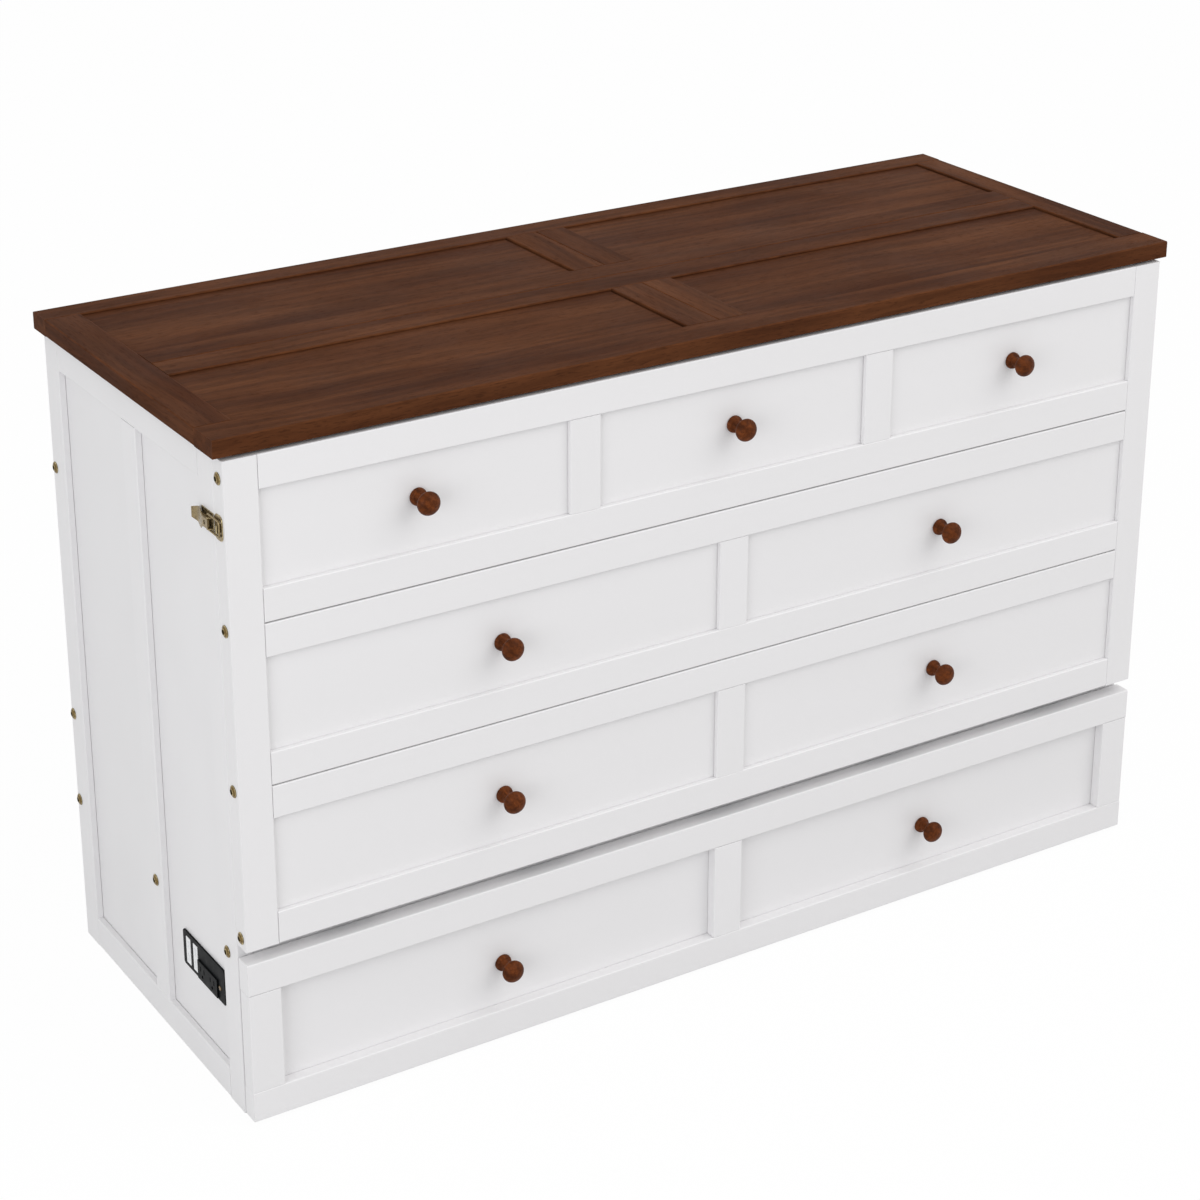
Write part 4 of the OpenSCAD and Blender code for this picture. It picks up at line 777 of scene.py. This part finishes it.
def buildSlatRow():
    # boards with rounded long edges, laid along X one step apart
    g, i = growTree("slatRow", [
        ("Length", "Float", 1.5), ("Across", "Float", 0.06), ("Height", "Float", 0.018), ("Round", "Float", 0.002),
        ("Count", "Int", 6), ("Start", "Vector", None), ("Step", "Vector", None), ("Seed", "Int", 1)])
    outline = shape(g, "GeometryNodeCurvePrimitiveQuadrilateral", -1400, -200, Width=i["Across"], Height=i["Height"])
    soft = shape(g, "GeometryNodeFilletCurve", -1200, -200, {"mode": "POLY"}, Curve=outline.outputs[0], Count=3,
                 Radius=i["Round"])
    half = combine(g, "MULTIPLY", i["Length"], 0.5, -1400, -500)
    line = shape(g, "GeometryNodeCurvePrimitiveLine", -1200, 100,
                 Start=vector(g, combine(g, "MULTIPLY", half, -1.0, -1300, -600), 0.0, 0.0, -1250, -600),
                 End=vector(g, half, 0.0, 0.0, -1250, -450))
    level = shape(g, "GeometryNodeSetCurveNormal", -1000, 100, {"mode": "Z_UP"}, Curve=line.outputs[0])
    board = shape(g, "GeometryNodeCurveToMesh", -800, 0, Curve=level.outputs[0], Profile_Curve=soft.outputs[0],
                  Fill_Caps=True)
    row = shape(g, "GeometryNodeMeshLine", -800, 300, Count=i["Count"], Start_Location=i["Start"], Offset=i["Step"])
    laid = shape(g, "GeometryNodeInstanceOnPoints", 0, 0, Points=row.outputs[0], Instance=board.outputs[0])
    endTree(g, i, laid.outputs[0])
    return g


def buildWireLoop():
    # a rectangle of round wire with bent corners, standing in the plane of Y and Z on each point
    g, i = growTree("wireLoop", [
        ("Length", "Float", 0.036), ("Height", "Float", 0.0218), ("Corner", "Float", 0.003), ("Wire", "Float", 0.0015),
        ("Seed", "Int", 1)])
    path = shape(g, "GeometryNodeCurvePrimitiveQuadrilateral", -1400, 0, Width=i["Height"], Height=i["Length"])
    bent = shape(g, "GeometryNodeFilletCurve", -1200, 0, {"mode": "POLY"}, Curve=path.outputs[0], Count=6,
                 Radius=i["Corner"])
    ring = shape(g, "GeometryNodeCurvePrimitiveCircle", -1200, -300, Resolution=14, Radius=i["Wire"])
    wire = shape(g, "GeometryNodeCurveToMesh", -1000, 0, Curve=bent.outputs[0], Profile_Curve=ring.outputs[0])
    stood = shape(g, "GeometryNodeTransform", -800, 0, Geometry=wire.outputs[0], Rotation=(0.0, math.pi / 2, 0.0))
    placed = shape(g, "GeometryNodeInstanceOnPoints", 0, 0, Points=i["Geometry"], Instance=stood.outputs[0])
    endTree(g, i, placed.outputs[0])
    return g


trees = {"heads": buildRoundHeads(), "knobs": buildTurnedKnobs(knobTurning), "slats": buildSlatRow(),
         "wire": buildWireLoop()}


def grow(name, tree, spots, finish, body, source=None, **values):
    # a tree run over points that carry their aim, kept as a plain mesh
    mesh = bpy.data.meshes.new(name)
    mesh.from_pydata([tuple(place) for place, aim in spots], [], [])
    aims = mesh.attributes.new("aim", "FLOAT_VECTOR", "POINT")
    aims.data.foreach_set("vector", [c for place, aim in spots for c in aim])
    obj = bpy.data.objects.new(name, mesh)
    bpy.context.scene.collection.objects.link(obj)
    tool = obj.modifiers.new(name, "NODES")
    tool.node_group = trees[tree]
    values["Finish"] = finishes[finish]
    for item in trees[tree].interface.items_tree:
        if item.in_out == "INPUT" and item.name in values:
            tool[item.identifier] = values[item.name]
    flatten(obj)
    dress(obj, finish, body, source)


east, west, rear, front, up, down = (1, 0, 0), (-1, 0, 0), (0, 1, 0), (0, -1, 0), (0, 0, 1), (0, 0, -1)

# turned knobs: a foot disc on the panel, the head towards the room
for piece, source, body, seed in (("frontTurnedKnobs", "front_knobs", "front", 5),
                                  ("drawerTurnedKnobs", "drawer_knobs", "drawer", 8)):
    spots = [(((low.x + high.x) / 2, high.y, (low.z + high.z) / 2), front) for low, high in solidsOf(source)]
    grow(piece, "knobs", spots, "knobWood", body, source, Seed=seed)

# brass bolts with domed heads, let into the sides
boltHead = {"Radius": 0.009, "Rim": 0.0009, "Dome": 0.0031, "Sides": 36, "Rings": 5, "Recess": 0.0041,
            "Depth": 0.0022, "Stem": 0.0095}
cadHeadHeight = 0.003
for piece, source, body, seed in (("cabinetBrassBolts", "cabinet_bolts", "cabinet", 11),
                                  ("frontBrassBolts", "front_bolts", "front", 12)):
    spots = []
    for low, high in solidsOf(source):
        x, aim = (low.x + cadHeadHeight, west) if low.x < 0 else (high.x - cadHeadHeight, east)
        spots.append(((x, (low.y + high.y) / 2, (low.z + high.z) / 2), aim))
    grow(piece, "heads", spots, "bolt", body, source, Seed=seed, **boltHead)
print("knobs and bolts ready")

# slats of the fixed deck
slatBoxes = solidsOf("deck_slats")
slatLow, slatHigh = slatBoxes[0]
slatSize = slatHigh - slatLow
slatRound = 0.0025
grow("deckSlats", "slats", [((0, 0, 0), up)], "pineX", "cabinet", "deck_slats", Length=slatSize.x, Across=slatSize.y,
     Height=slatSize.z, Round=slatRound, Count=len(slatBoxes), Start=(slatLow + slatHigh) / 2,
     Step=(slatBoxes[-1][0] - slatLow) / (len(slatBoxes) - 1), Seed=21)

# metal and plastic fittings with broken edges
fittings = [  # piece, CAD node, finish, body, rounding in metres
    ("cabinetHingeLeaves", "cabinet_hinge_leaves", "steel", "cabinet", 0.0004),
    ("frontHingeLeaves", "front_hinge_leaves", "steel", "front", 0.0004),
    ("footHingeLeaves", "foot_hinge_leaves", "steel", "foot", 0.0004),
    ("lidHingeLeaves", "lid_hinge_leaves", "steel", "lid", 0.0004),
    ("footLegBrackets", "leg_brackets", "steel", "foot", 0.0005),
    ("cabinetRunnerRails", "cabinet_runners", "steel", "cabinet", 0.0003),
    ("middleRunnerRails", "middle_runners", "steel", "runners", 0.0003),
    ("drawerRunnerBars", "drawer_runner_bars", "steel", "drawer", 0.0003),
    ("latchBasePlates", "latch_bases", "brass", "cabinet", 0.0004),
    ("latchKeeperPlates", "latch_keepers", "brass", "front", 0.0009),
    ("leftLatchHandle", "left_latch_lever", "brass", "left_lever", 0.0005),
    ("rightLatchHandle", "right_latch_lever", "brass", "right_lever", 0.0005),
    ("outletFacePlate", "outlet_plate", "black", "cabinet", 0.0008),
    ("outletSocketBlock", "outlet_sockets", "black", "cabinet", 0.0004),
    ("usbPortInserts", "usb_ports", "white", "cabinet", 0.0004),
    ("outletLampLens", "outlet_lamp", "lens", "cabinet", 0.0007),
    ("cordGlandBody", "cord_gland", "black", "cabinet", 0.0007),
    ("cabinetHingePins", "cabinet_hinge_pins", "steel", "cabinet", 0.0005),
    ("footHingePins", "foot_hinge_pins", "steel", "foot", 0.0005),
]
for piece, source, finish, body, radius in fittings:
    dress(roundedCopy(piece, source, radius, 1.0), finish, body, source)

# latch loops of bent wire
loopWire = {"Corner": 0.0035, "Wire": 0.0015}
for piece, source, body in (("leftWireLoop", "left_latch_loop", "left_loop"),
                            ("rightWireLoop", "right_latch_loop", "right_loop")):
    low, high = (Vector(corner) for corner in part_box(source))
    size = high - low
    thick = 2 * loopWire["Wire"]
    grow(piece, "wire", [((low + high) / 2, up)], "brass", body, source, Length=size.y - thick, Height=size.z - thick,
         **loopWire)
print("fittings ready:", len(fittings) + 2)

# countersunk screws in the hinges, slats and battens
screwHead = {"Radius": 0.0034, "Rim": 0.0001, "Dome": 0.0003, "Sides": 16, "Rings": 2, "Recess": 0.0019,
             "Depth": 0.00028, "Crossed": True, "Stem": 0.004}
leafRows = {  # millimetres from the lid's rear edge and from the floor; the middle screw is set off by the last two
    "deck": (-568, 274.5, up, -6, 0), "back": (-3.5, 972, rear, 0, 10), "frontFoot": (-582, 302, rear, 0, 10),
    "frontTop": (-582, 966, rear, 0, 10), "foot": (-581, 964, front, 0, 10), "lid": (-22, 1005, down, -8, 0)}
leafAt, leafSpread, lidRearEdge = (-640, -320, 0, 320, 640), 34, 323.75
slatScrewAt = {"across": (-0.018, 0.018), "deckEnd": 0.013, "footEnd": 0.03}
battenScrewAt = ((-0.015, 0.08), (0.015, 0.36), (-0.015, 0.64), (0.015, 0.92))


def leafScrews(*rows):
    spots = []
    for y, z, aim, dy, dz in (leafRows[row] for row in rows):
        for x in leafAt:
            for dx, middle in ((-leafSpread, 0), (0, 1), (leafSpread, 0)):
                spots.append((Vector((x + dx, y + lidRearEdge + dy * middle, z + dz * middle)) / 1000, aim))
    return spots


slatScrews = [((x, (low.y + high.y) / 2 + dy, high.z), up) for low, high in slatBoxes for dy in slatScrewAt["across"]
              for x in (low.x + slatScrewAt["deckEnd"], 0.0, high.x - slatScrewAt["deckEnd"])]
footScrews = [((x, low.y, (low.z + high.z) / 2 + dz), front) for low, high in solidsOf("foot_slats")
              for dz in slatScrewAt["across"]
              for x in (low.x + slatScrewAt["footEnd"], high.x - slatScrewAt["footEnd"])]
battenScrews = [(((low.x + high.x) / 2 + dx, low.y + (high.y - low.y) * share, low.z), down)
                for low, high in solidsOf("lid_battens") for dx, share in battenScrewAt]
screwPieces = [
    ("cabinetScrews", "cabinet", 31, leafScrews("deck", "back") + slatScrews),
    ("frontScrews", "front", 32, leafScrews("frontFoot", "frontTop")),
    ("footScrews", "foot", 33, leafScrews("foot") + footScrews),
    ("lidScrews", "lid", 34, leafScrews("lid") + battenScrews),
]
for piece, body, seed, spots in screwPieces:
    grow(piece, "heads", spots, "steel", body, Seed=seed, **screwHead)
print("screws ready:", sum(len(spots) for piece, body, seed, spots in screwPieces))
